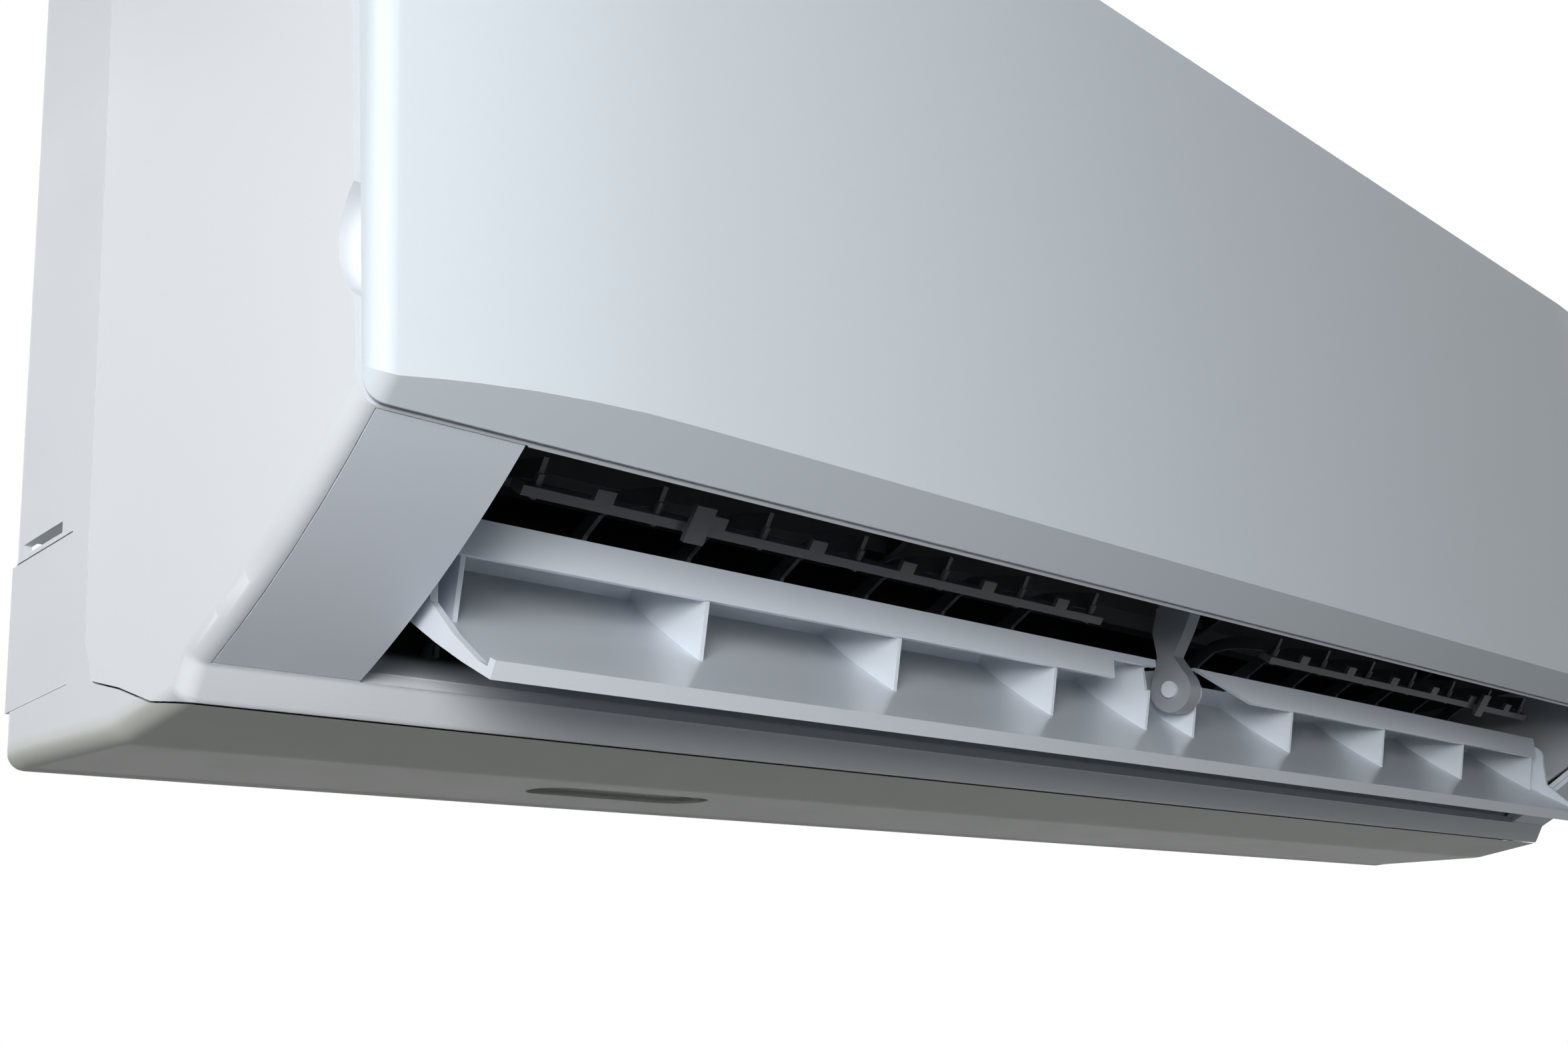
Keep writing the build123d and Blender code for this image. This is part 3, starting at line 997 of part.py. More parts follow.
# ---- vanes behind the louver ----------------------------------------------------
VANE_OUTLINE = (
    (91.0, 28.5), (90.5, 36.0), (91.0, 48.0), (95.0, 60.0), (104.0, 70.8), (113.0, 74.5), (121.0, 74.2),
    (130.0, 72.0), (139.4, 68.7), (147.0, 65.5), (151.0, 71.0), (140.0, 74.6), (130.0, 77.5), (121.0, 79.5),
    (113.0, 79.8), (104.0, 77.0), (94.0, 73.5), (84.0, 70.5), (76.0, 62.0), (73.0, 52.0), (75.0, 45.0),
    (82.0, 37.0),
)
VANE_FOOT = -8.0
VANE_PIN_TOP = 4.0
BAR_PIN_SIDES = 8               # of the pins that stand loose in the bar
BAR_THICKNESS = 3.0
BAR_WIDTH = 6.0
BAR_OVERHANG = 6.0
FINGER_LOWER_EDGE = 66.5
CLIP_WALL = 1.6
CLIP_WIDTH = 7.0
CLIP_HEIGHT = 5.2
BAR_TAB_WIDTH = 8.0
TAB_STEPS = 2.3                 # vane steps from the tab to the group's outer end


def vane_coordinates(depth, height):
    """Reach along the flow and height along the pivot of a side-profile point."""
    tilt = radians(VANE_TILT)
    ahead, above = depth - VANE_PIVOT[0], height - VANE_PIVOT[1]
    return (ahead * cos(tilt) - above * sin(tilt), ahead * sin(tilt) + above * cos(tilt))


def vane_sheet_plane(x):
    """Plane of a vane's own sheet: X along its reach, Y up its pivot."""
    foot = vane_plane(x)
    turn = radians(VANE_TURN)
    reach = foot.x_dir * cos(turn) - foot.y_dir * sin(turn)
    return Plane(origin=foot.origin, x_dir=reach, z_dir=reach.cross(foot.z_dir))


def bar_pin(x):
    """Plane at the link bar's pin of the vane at x, facing up the pivot."""
    foot = vane_plane(x)
    turn = radians(VANE_TURN)
    shift = foot.x_dir * (BAR_REACH * cos(turn)) - foot.y_dir * (BAR_REACH * sin(turn))
    return Plane(origin=foot.origin + shift, x_dir=foot.x_dir, z_dir=foot.z_dir)


for group_name, group in (("left", -1), ("right", 1)):
    for number in range(VANES_PER_SIDE):
        vane_x = group * (VANE_FIRST + number * VANE_PITCH)
        with BuildPart() as vane:
            with BuildSketch(vane_sheet_plane(vane_x)):
                with BuildLine():
                    Polyline(*[vane_coordinates(*point) for point in VANE_OUTLINE], close=True)
                make_face()
            extrude(amount=VANE_WALL / 2, both=True)
            with BuildSketch(vane_plane(vane_x).offset(VANE_FOOT)):
                Circle(VANE_PIN_RADIUS)
            extrude(amount=VANE_PIN_TOP - VANE_FOOT)
            with BuildSketch(bar_pin(vane_x).offset(BAR_LEVEL - BAR_THICKNESS / 2 - 1.0)):
                if number == 0:
                    Circle(BAR_PIN_RADIUS)
                else:
                    RegularPolygon(BAR_PIN_RADIUS, BAR_PIN_SIDES)
            extrude(amount=FINGER_LOWER_EDGE - BAR_LEVEL + BAR_THICKNESS / 2 + 2.0)
        save(vane.part, f"{group_name}_vane_{number + 1}")

    # link bar under the vanes' fingers
    first_x = VANE_FIRST
    last_x = VANE_FIRST + (VANES_PER_SIDE - 1) * VANE_PITCH
    bar_centre = group * (first_x + last_x) / 2
    bar_length = last_x - first_x + 2 * BAR_OVERHANG
    with BuildPart() as link_bar:
        with BuildSketch(bar_pin(bar_centre).offset(BAR_LEVEL - BAR_THICKNESS / 2)):
            Rectangle(BAR_WIDTH, bar_length)
        extrude(amount=BAR_THICKNESS)
        for number in range(VANES_PER_SIDE):
            vane_x = group * (VANE_FIRST + number * VANE_PITCH)
            with BuildSketch(bar_pin(vane_x).offset(BAR_LEVEL - BAR_THICKNESS)):
                if number == 0:
                    Circle(BAR_PIN_RADIUS + RUNNING)
                else:
                    Rectangle(2 * BAR_OPEN_HOLE, 2 * BAR_OPEN_HOLE)
            extrude(amount=2 * BAR_THICKNESS, mode=Mode.SUBTRACT)
        # upright clips between the vanes and a thumb tab
        for number in range(VANES_PER_SIDE - 1):
            clip_x = group * (VANE_FIRST + (number + 0.5) * VANE_PITCH)
            with BuildSketch(bar_pin(clip_x).offset(BAR_LEVEL)):
                with Locations((BAR_WIDTH / 2 - CLIP_WALL / 2, 0.0)):
                    Rectangle(CLIP_WALL, CLIP_WIDTH)
            extrude(amount=CLIP_HEIGHT)
        tab_x = group * (VANE_FIRST + (VANES_PER_SIDE - TAB_STEPS) * VANE_PITCH)
        with BuildSketch(bar_pin(tab_x).offset(BAR_LEVEL - 4.0)):
            with Locations((BAR_WIDTH / 2 + 1.8, 0.0)):
                Rectangle(CLIP_WALL, BAR_TAB_WIDTH)
        extrude(amount=12.0)
        with BuildSketch(bar_pin(tab_x).offset(BAR_LEVEL - BAR_THICKNESS / 2)):
            with Locations((BAR_WIDTH / 2 + 1.0, 0.0)):
                Rectangle(3.0, BAR_TAB_WIDTH)
        extrude(amount=BAR_THICKNESS)
    save(link_bar.part, f"{group_name}_link_bar")

# ---- air filters between the coil and the front case ------------------------------
FILTER_FRAME = 1.8
FILTER_CLEARANCE = 0.3
FILTER_DEPTH = CASE_FRONT_DEPTH - WALL - FILTER_CLEARANCE - FILTER_FRAME / 2
FILTER_CREST = UNIT_HEIGHT - 8.5
FILTER_PATH = (
    (FILTER_DEPTH, 115.0), (FILTER_DEPTH, UNIT_HEIGHT - 44.0), (176.5, UNIT_HEIGHT - 31.0),
    (166.0, UNIT_HEIGHT - 19.0), (150.0, UNIT_HEIGHT - 11.0), (120.0, FILTER_CREST), (70.0, FILTER_CREST),
)
FILTER_MESH = 0.5
FILTER_BORDER = 7.0
FILTER_GAP = 2.0
FILTER_BARS = 2
FILTER_RAIL_HEIGHTS = (119.0, 178.0, UNIT_HEIGHT - 51.0)
FILTER_RAIL_DEPTHS = (74.0,)
TAB_WIDTH = 40.0

for filter_name, filter_left, filter_right in (
    ("left_air_filter", COIL_LEFT + FILTER_GAP, FILTER_SPLIT - FILTER_GAP),
    ("right_air_filter", FILTER_SPLIT + FILTER_GAP, COIL_RIGHT - FILTER_GAP),
):
    filter_width = filter_right - filter_left
    bar_pitch = (filter_width - FILTER_BORDER) / (FILTER_BARS + 1)
    with BuildPart() as air_filter:
        with BuildSketch(side(filter_left)):
            add(wall_along(FILTER_MESH, *FILTER_PATH))
        extrude(amount=filter_width)
        for bar in range(FILTER_BARS + 2):
            width = FILTER_BORDER if bar in (0, FILTER_BARS + 1) else 3.0
            left = filter_left + bar * bar_pitch + (FILTER_BORDER - width) / 2
            with BuildSketch(side(left)):
                add(wall_along(FILTER_FRAME, *FILTER_PATH))
            extrude(amount=width)
        with BuildSketch(Plane.XZ.offset(FILTER_PATH[0][0] - FILTER_FRAME / 2)):
            for rail_height in FILTER_RAIL_HEIGHTS:
                with Locations(((filter_left + filter_right) / 2, rail_height - PLATE_CENTRE_HEIGHT)):
                    Rectangle(filter_width, FILTER_FRAME * 2)
        extrude(amount=FILTER_FRAME)
        with BuildSketch(Plane.XY.offset(FILTER_PATH[-1][1] - FILTER_FRAME / 2 - PLATE_CENTRE_HEIGHT)):
            for rail_depth in FILTER_RAIL_DEPTHS:
                with Locations(((filter_left + filter_right) / 2, -rail_depth)):
                    Rectangle(filter_width, FILTER_FRAME * 2)
        extrude(amount=FILTER_FRAME)
        # pull tab that reaches out through the window
        with BuildSketch(Plane.XZ.offset(FILTER_PATH[0][0])):
            with Locations(((filter_left + filter_right) / 2, WINDOW_LOW + 8.0 - PLATE_CENTRE_HEIGHT)):
                Rectangle(TAB_WIDTH, 9.0)
        extrude(amount=CASE_FRONT_DEPTH + 1.5 - FILTER_PATH[0][0])
    save(air_filter.part, filter_name)

# ---- covers over the knock-out openings ----------------------------------------------
COVER_WALL = 2.0
COVER_GAP = 0.3
for cover_name, cover_left, lip_left in (
    ("left_pipe_cover", -HALF + 0.2, -HALF + 0.2 + COVER_WALL),
    ("right_pipe_cover", HALF - 0.2 - COVER_WALL, HALF - 0.2 - COVER_WALL - 4.0),
):
    with BuildPart() as pipe_cover:
        with BuildSketch(side(cover_left)):
            add(profile(
                (BACK_EDGE_DEPTH + 0.5, KNOCKOUT_LOW + COVER_GAP),
                (KNOCKOUT_DEPTH - COVER_GAP, KNOCKOUT_LOW + COVER_GAP),
                (KNOCKOUT_DEPTH - COVER_GAP, KNOCKOUT_HIGH - COVER_GAP),
                (BACK_EDGE_DEPTH + 0.5, KNOCKOUT_HIGH - COVER_GAP),
            ))
        extrude(amount=COVER_WALL)
        # clips behind the cover
        for clip_height in (KNOCKOUT_LOW + 8.0, KNOCKOUT_HIGH - 12.0):
            with BuildSketch(side(lip_left)):
                add(profile(
                    (KNOCKOUT_DEPTH - 6.0, clip_height), (KNOCKOUT_DEPTH - 1.0, clip_height),
                    (KNOCKOUT_DEPTH - 1.0, clip_height + 5.0), (KNOCKOUT_DEPTH - 6.0, clip_height + 5.0),
                ))
            extrude(amount=4.0)
    save(pipe_cover.part, cover_name)

# ---- electrical box at the right end ---------------------------------------------------
BOX_LEFT = CHAMBER_RIGHT + 28.0
BOX_RIGHT = HALF - 10.5
BOX_LOW = CHAMBER_TOP + 0.3
BOX_HIGH = UNIT_HEIGHT - 15.0
BOX_REAR = 70.0
BOX_FRONT = 176.0
BOX_WALL = 2.0
BOARD_REAR = 82.0


def box_rectangle(margin):
    """Front view of the box moved inwards by margin."""
    centre = ((BOX_LEFT + BOX_RIGHT) / 2, (BOX_LOW + BOX_HIGH) / 2 - PLATE_CENTRE_HEIGHT)
    with BuildSketch(mode=Mode.PRIVATE) as sketch:
        with Locations(centre):
            Rectangle(BOX_RIGHT - BOX_LEFT - 2 * margin, BOX_HIGH - BOX_LOW - 2 * margin)
    return sketch.sketch


with BuildPart() as control_box:
    with BuildSketch(Plane.XZ.offset(BOX_REAR)):
        add(box_rectangle(0.0))
    extrude(amount=BOX_FRONT - BOX_REAR - BOX_WALL - 0.3)
    with BuildSketch(Plane.XZ.offset(BOX_REAR + BOX_WALL)):
        add(box_rectangle(BOX_WALL))
    extrude(amount=BOX_FRONT - BOX_REAR, mode=Mode.SUBTRACT)
    with BuildSketch(Plane.XZ.offset(BOX_REAR)):
        for post_x in (BOX_LEFT + 10.0, BOX_RIGHT - 10.0):
            for post_height in (BOX_LOW + 10.0, BOX_HIGH - 10.0):
                with Locations((post_x, post_height - PLATE_CENTRE_HEIGHT)):
                    Rectangle(8.0, 8.0)
    extrude(amount=BOARD_REAR - BOX_REAR - 0.2)
save(control_box.part, "control_box")

with BuildPart() as control_cover:
    with BuildSketch(Plane.XZ.offset(BOX_FRONT - BOX_WALL)):
        add(box_rectangle(0.0))
    extrude(amount=BOX_WALL)
    with BuildSketch(Plane.XZ.offset(BOX_FRONT - BOX_WALL - 3.0)):
        add(box_rectangle(BOX_WALL + 0.3))
        add(box_rectangle(BOX_WALL + 1.9), mode=Mode.SUBTRACT)
    extrude(amount=3.0)
save(control_cover.part, "control_cover")

with BuildPart() as control_board:
    with BuildSketch(Plane.XZ.offset(BOARD_REAR)):
        add(box_rectangle(BOX_WALL + 2.0))
    extrude(amount=1.6)
    board_x = (BOX_LEFT + BOX_RIGHT) / 2
    for block_x, block_height, block_w, block_h, block_deep in (
        (-18.0, 32.0, 22.0, 20.0, 24.0), (16.0, 30.0, 18.0, 22.0, 16.0), (-20.0, 0.0, 14.0, 18.0, 30.0),
        (10.0, -4.0, 26.0, 14.0, 6.0), (20.0, -24.0, 16.0, 10.0, 10.0),
    ):
        with BuildSketch(Plane.XZ.offset(BOARD_REAR + 1.6)):
            with Locations((board_x + block_x, (BOX_LOW + BOX_HIGH) / 2 + block_height - PLATE_CENTRE_HEIGHT)):
                Rectangle(block_w, block_h)
        extrude(amount=block_deep)
save(control_board.part, "control_board")

TERMINAL_REAR = BOX_FRONT - 40.0
TERMINAL_LEVEL = BOX_LOW + BOX_WALL + 12.3 - PLATE_CENTRE_HEIGHT
with BuildPart() as terminal_block:
    with BuildSketch(Plane.XZ.offset(TERMINAL_REAR)):
        with Locations((board_x, TERMINAL_LEVEL)):
            Rectangle(56.0, 24.0)
    extrude(amount=18.0)
    with BuildSketch(Plane.XZ.offset(TERMINAL_REAR + 15.0)):
        with Locations((board_x, TERMINAL_LEVEL + 2.0)):
            with GridLocations(12.0, 1.0, 4, 1):
                Rectangle(9.0, 16.0)
    extrude(amount=4.0, mode=Mode.SUBTRACT)
save(terminal_block.part, "terminal_block")

# ---- display board and switch button behind the panel -----------------------------------
DISPLAY_X = 245.0
DISPLAY_HEIGHT = 85.0
with BuildPart() as display_board:
    with BuildSketch(Plane.XZ.offset(case_face(DISPLAY_HEIGHT - 11.0) + 0.2)):
        with Locations((DISPLAY_X, DISPLAY_HEIGHT - PLATE_CENTRE_HEIGHT)):
            RectangleRounded(90.0, 22.0, 3.0)
    extrude(amount=6.0)
    with BuildSketch(Plane.XZ.offset(case_face(DISPLAY_HEIGHT - 11.0) + 5.0)):
        with Locations((DISPLAY_X - 20.0, DISPLAY_HEIGHT - PLATE_CENTRE_HEIGHT)):
            Rectangle(32.0, 14.0)
        with Locations((DISPLAY_X + 28.0, DISPLAY_HEIGHT - PLATE_CENTRE_HEIGHT)):
            Circle(5.0)
    extrude(amount=2.0, mode=Mode.SUBTRACT)
save(display_board.part, "display_board")

BUTTON_TRAVEL = 1.5
BUTTON_STAND = BUTTON_TRAVEL    # pressed in, it is flush with the case
with BuildPart() as switch_button:
    with BuildSketch(Plane.XZ.offset(CASE_FRONT_DEPTH - WALL - 0.5 - 1.2)):
        with Locations((BUTTON_X, BUTTON_HEIGHT - PLATE_CENTRE_HEIGHT)):
            Circle(BUTTON_RADIUS + 1.6)
    extrude(amount=1.2)
    with BuildSketch(Plane.XZ.offset(CASE_FRONT_DEPTH - WALL - 0.6)):
        with Locations((BUTTON_X, BUTTON_HEIGHT - PLATE_CENTRE_HEIGHT)):
            Circle(BUTTON_RADIUS)
    extrude(amount=WALL + 0.6 + BUTTON_STAND + case_face(BUTTON_HEIGHT) - CASE_FRONT_DEPTH)
save(switch_button.part, "switch_button")

ROOM_SENSOR_X = HALF - 60.5
with BuildPart() as room_sensor:
    with BuildSketch(Plane.XZ.offset(case_face(BUTTON_HEIGHT - 9.0) + 0.2)):
        with Locations((ROOM_SENSOR_X, BUTTON_HEIGHT - PLATE_CENTRE_HEIGHT)):
            RectangleRounded(12.0, 18.0, 2.0)
    extrude(amount=1.6)
    with BuildSketch(Plane.XY.offset(BUTTON_HEIGHT - 8.0 - PLATE_CENTRE_HEIGHT)):
        with Locations((ROOM_SENSOR_X, -case_face(BUTTON_HEIGHT) - 4.0)):
            Circle(2.6)
    extrude(amount=16.0)
save(room_sensor.part, "room_sensor")

# ---- drain outlet and plug, in the pipe recess ---------------------------------------------
SPIGOT_X = -HALF + 92.5
SPIGOT_LEVEL = 30.0
SPIGOT_RADIUS = 8.0
with BuildPart() as drain_outlet:
    with BuildSketch(Plane.XZ.offset(RECESS_DEPTH - 0.2 - 3.0)):
        with Locations((SPIGOT_X, SPIGOT_LEVEL - PLATE_CENTRE_HEIGHT)):
            Circle(SPIGOT_RADIUS + 3.0)
    extrude(amount=3.0)
    with BuildSketch(Plane.XZ.offset(RECESS_DEPTH - 26.0)):
        with Locations((SPIGOT_X, SPIGOT_LEVEL - PLATE_CENTRE_HEIGHT)):
            Circle(SPIGOT_RADIUS)
    extrude(amount=25.0)
    with BuildSketch(Plane.XZ.offset(RECESS_DEPTH - 27.0)):
        with Locations((SPIGOT_X, SPIGOT_LEVEL - PLATE_CENTRE_HEIGHT)):
            Circle(SPIGOT_RADIUS - 1.8)
    extrude(amount=24.0, mode=Mode.SUBTRACT)
save(drain_outlet.part, "drain_outlet")

with BuildPart() as drain_plug:
    with BuildSketch(Plane.XZ.offset(RECESS_DEPTH - 0.2 - 8.0)):
        with Locations((-SPIGOT_X, SPIGOT_LEVEL - PLATE_CENTRE_HEIGHT)):
            Circle(SPIGOT_RADIUS)
    extrude(amount=8.0)
    chamfer(drain_plug.edges().group_by(Axis.Y)[-1], 1.5)
save(drain_plug.part, "drain_plug")

# ---- refrigerant pipes -----------------------------------------------------------------------
PIPE_TURN_X = HALF - 92.5
PIPE_LEFT = -60.0
PIPE_DEPTH = 22.0
FLARE = 1.6
NUT_PLAY = 0.1
REFRIGERANT_PIPES = (
    ("gas_pipe", "gas_nut", 4.8, 40.0, 9.5),
    ("liquid_pipe", "liquid_nut", 3.2, 58.0, 7.5),
)
for pipe_name, nut_name, pipe_radius, pipe_height, nut_radius in REFRIGERANT_PIPES:
    with BuildPart() as pipe:
        with BuildSketch(side(PIPE_LEFT)):
            with Locations(at(PIPE_DEPTH, pipe_height)):
                Circle(pipe_radius)
        extrude(amount=PIPE_TURN_X - PIPE_LEFT)
        with BuildSketch(side(PIPE_LEFT)):
            with Locations(at(PIPE_DEPTH, pipe_height)):
                Circle(pipe_radius + FLARE)
        extrude(amount=2.0)
    save(pipe.part, pipe_name)
    with BuildPart() as nut:
        with BuildSketch(side(PIPE_LEFT - 6.0)):
            with Locations(at(PIPE_DEPTH, pipe_height)):
                RegularPolygon(nut_radius, 6)
                Circle(pipe_radius + FLARE + 0.2, mode=Mode.SUBTRACT)
        extrude(amount=8.3)
        with BuildSketch(side(PIPE_LEFT + 2.2)):
            with Locations(at(PIPE_DEPTH, pipe_height)):
                RegularPolygon(nut_radius, 6)
                Circle(pipe_radius + NUT_PLAY, mode=Mode.SUBTRACT)
        extrude(amount=10.0)
    save(nut.part, nut_name)

CLAMP_X = 120.0
CLAMP_LENGTH = 14.0
CLAMP_FRONT = RECESS_DEPTH - 0.3
with BuildPart() as pipe_clamp:
    with BuildSketch(side(CLAMP_X)):
        add(profile((13.0, 30.0), (CLAMP_FRONT, 30.0), (CLAMP_FRONT, 66.0), (13.0, 66.0)))
        for _, _, pipe_radius, pipe_height, _ in REFRIGERANT_PIPES:
            with Locations(at(PIPE_DEPTH, pipe_height)):
                Circle(pipe_radius + NUT_PLAY, mode=Mode.SUBTRACT)
    extrude(amount=CLAMP_LENGTH)
save(pipe_clamp.part, "pipe_clamp")
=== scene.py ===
import bmesh
import bpy
import json
from math import cos, radians, sin
from mathutils import Matrix, Vector

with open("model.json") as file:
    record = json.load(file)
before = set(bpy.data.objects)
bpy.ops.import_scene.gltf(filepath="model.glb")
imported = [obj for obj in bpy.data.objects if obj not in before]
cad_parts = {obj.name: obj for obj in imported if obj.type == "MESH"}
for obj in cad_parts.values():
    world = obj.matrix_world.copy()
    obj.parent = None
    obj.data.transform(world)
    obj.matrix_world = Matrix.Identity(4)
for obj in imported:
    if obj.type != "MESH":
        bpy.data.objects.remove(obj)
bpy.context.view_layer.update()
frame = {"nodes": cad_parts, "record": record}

# Camera ---------------------------------------------------------------------
# It stands low and to the left of the unit and looks up along the outlet.
CAMERA_PLACE = Vector((-0.6215, -0.5028, -0.2799))
CAMERA_YAW = radians(46.97)
CAMERA_PITCH = radians(17.22)
CAMERA_ROLL = radians(-4.77)
CAMERA_LENS = 39.84
CAMERA_SHIFT = (-0.0044, 0.0182)
SENSOR_WIDTH = 36.0
NEAREST_SEEN = 0.02


def set_camera():
    forward = Vector((
        sin(CAMERA_YAW) * cos(CAMERA_PITCH), cos(CAMERA_YAW) * cos(CAMERA_PITCH), sin(CAMERA_PITCH)))
    right = Vector((cos(CAMERA_YAW), -sin(CAMERA_YAW), 0.0))
    up = right.cross(forward)
    turned_right = right * cos(CAMERA_ROLL) + up * sin(CAMERA_ROLL)
    turned_up = up * cos(CAMERA_ROLL) - right * sin(CAMERA_ROLL)
    lens = bpy.data.cameras.new("camera")
    lens.sensor_width = SENSOR_WIDTH
    lens.lens = CAMERA_LENS
    lens.shift_x, lens.shift_y = CAMERA_SHIFT
    lens.clip_start = NEAREST_SEEN
    camera = bpy.data.objects.new("camera", lens)
    turn = Matrix((turned_right, turned_up, -forward)).transposed().to_4x4()
    camera.matrix_world = Matrix.Translation(CAMERA_PLACE) @ turn
    bpy.context.scene.collection.objects.link(camera)
    bpy.context.scene.camera = camera


set_camera()


# Shader writing ---------------------------------------------------------------
MM_PER_M = 1000.0
ORIGIN_HEIGHT = 180.0                   # of the frame's origin over the unit's underside


def tint(colour, factor):
    return tuple(min(1.0, channel * factor) for channel in colour)


class Signal:
    """A number that changes over a surface; an expression on it adds Math nodes."""

    def __init__(self, surface, socket):
        self.surface = surface
        self.socket = socket

    def maths(self, operation, first, second):
        made = self.surface.node("ShaderNodeMath", {"operation": operation}, {0: first, 1: second})
        return Signal(self.surface, made.outputs[0])

    def __add__(self, other):
        return self.maths("ADD", self, other)

    __radd__ = __add__

    def __sub__(self, other):
        return self.maths("SUBTRACT", self, other)

    def __rsub__(self, other):
        return self.maths("SUBTRACT", other, self)

    def __mul__(self, other):
        return self.maths("MULTIPLY", self, other)

    __rmul__ = __mul__

    def __gt__(self, other):
        return self.maths("GREATER_THAN", self, other)

    def __lt__(self, other):
        return self.maths("LESS_THAN", self, other)

    def __abs__(self):
        return self.maths("ABSOLUTE", self, 0.0)

    def wave(self):
        """Sawtooth of the number: its fraction."""
        return self.maths("FRACT", self, 0.0)

    def rise(self, start, end):
        """0 up to a start value, 1 from an end value on, smooth in between."""
        sockets = {0: self, 1: start, 2: end, 3: 0.0, 4: 1.0}
        made = self.surface.node("ShaderNodeMapRange", {"interpolation_type": "SMOOTHSTEP"}, sockets)
        return Signal(self.surface, made.outputs[0])

    def most(self, other):
        return self.maths("MAXIMUM", self, other)


class Surface:
    """One material, with the nodes that describe its finish."""

    def __init__(self, name, **shader):
        self.material = bpy.data.materials.new(name)
        self.material.use_nodes = True
        self.tree = self.material.node_tree
        self.shader = self.tree.nodes["Principled BSDF"]
        for socket, value in shader.items():
            self.shader.inputs[socket.replace("_", " ")].default_value = value
        self.place = self.node("ShaderNodeTexCoord").outputs["Object"]

    def node(self, kind, settings=None, sockets=None):
        made = self.tree.nodes.new(kind)
        for key, value in (settings or {}).items():
            setattr(made, key, value)
        for key, value in (sockets or {}).items():
            if isinstance(value, Signal):
                self.tree.links.new(value.socket, made.inputs[key])
            elif isinstance(value, bpy.types.NodeSocket):
                self.tree.links.new(value, made.inputs[key])
            else:
                made.inputs[key].default_value = value
        return made

    def speckle(self, scale, detail=2.0, roughness=0.5, stretch=None):
        """Noise at a scale in lumps per metre, from 0 to 1."""
        place = self.place
        if stretch:
            place = self.node("ShaderNodeMapping", None, {"Vector": self.place, "Scale": stretch}).outputs[0]
        sockets = {"Vector": place, "Scale": scale, "Detail": detail, "Roughness": roughness}
        return Signal(self, self.node("ShaderNodeTexNoise", None, sockets).outputs["Fac"])

    def axis(self, name):
        """One coordinate in metres."""
        made = self.node("ShaderNodeSeparateXYZ", None, {0: self.place})
        return Signal(self, made.outputs[name])

    def depth(self):
        """Distance from the wall in millimetres."""
        return self.axis("Y") * -MM_PER_M

    def height(self):
        """Height above the unit's underside in millimetres."""
        return self.axis("Z") * MM_PER_M + ORIGIN_HEIGHT

    def blend(self, factor, first, second):
        """Colour between two colours."""
        first = (*first, 1.0) if isinstance(first, tuple) else first
        second = (*second, 1.0) if isinstance(second, tuple) else second
        made = self.node("ShaderNodeMix", {"data_type": "RGBA"}, {0: factor, 6: first, 7: second})
        return made.outputs[2]

    def colour(self, socket):
        self.tree.links.new(socket, self.shader.inputs["Base Color"])

    def feed(self, name, signal):
        self.tree.links.new(signal.socket, self.shader.inputs[name])

    def mottled(self, cloud, colour, spread):
        """A colour a little darker and lighter over a cloud."""
        return self.blend(cloud, tint(colour, 1.0 - spread), tint(colour, 1.0 + spread))

    def uneven(self, roughness, signal, spread):
        """Roughness about a value, uneven by a signal."""
        self.feed("Roughness", signal * spread + (roughness - spread / 2))

    def relief(self, height, depth):
        """Bump of a height signal, its depth in metres."""
        made = self.node("ShaderNodeBump", None, {"Height": height, "Distance": depth, "Strength": 1.0})
        self.tree.links.new(made.outputs[0], self.shader.inputs["Normal"])


# Finishes -----------------------------------------------------------------------
# Noise scales are in lumps per metre, and relief depths in metres.
CLOUD_SCALE = 9.0
SHEEN_SCALE = 38.0
SHEEN_SPREAD = 0.12


def sheen(surface, roughness):
    """Roughness of a moulded skin, uneven in patches as wide as a thumb."""
    surface.uneven(roughness, surface.speckle(SHEEN_SCALE, detail=4.0, roughness=0.6), SHEEN_SPREAD)


def moulded_plastic(name, colour, roughness, grain=1400.0, depth=0.00002, coat=0.0, mottle=0.03):
    """Moulded plastic: a faint mottle, a fine grain and uneven sheen."""
    surface = Surface(name, Coat_Weight=coat, Coat_Roughness=0.08, IOR=1.46, Specular_IOR_Level=0.35)
    cloud = surface.speckle(CLOUD_SCALE, detail=3.0)
    surface.colour(surface.mottled(cloud, colour, mottle))
    sheen(surface, roughness)
    surface.relief(surface.speckle(grain), depth)
    return surface.material


# Zones of the chassis in millimetres where shade is painted into its colour: where each begins and where it
# is full.
UNDERSIDE_BACK = (5.41, -0.0763)        # height at the wall, and its change with depth
UNDERSIDE_FRONT = (-6.8, 0.0958)
UNDERSIDE_EDGE = (3.0, 9.0)             # over the underside
DUCT_FLOOR = (1.0, 1.8)                 # over the underside
DUCT_BACK = (47.0, 48.0)                # depth
DUCT_LIP = (80.0, 100.0)                # depth
CHAMBER_FLOOR = (20.0, 30.0)            # over the underside
BULKHEAD = (376.0, 377.0)               # distance from the middle
END_WALL_INSIDE = (405.0, 406.0)        # distance from the middle
END_WALL_OUTSIDE = (421.4, 422.2)       # distance from the middle
END_WALL_FOOT = (8.0, 9.0)              # over the underside
END_WALL_BACK = (60.0, 64.0)            # depth
INSIDE_TOP = (260.0, 264.0)             # height


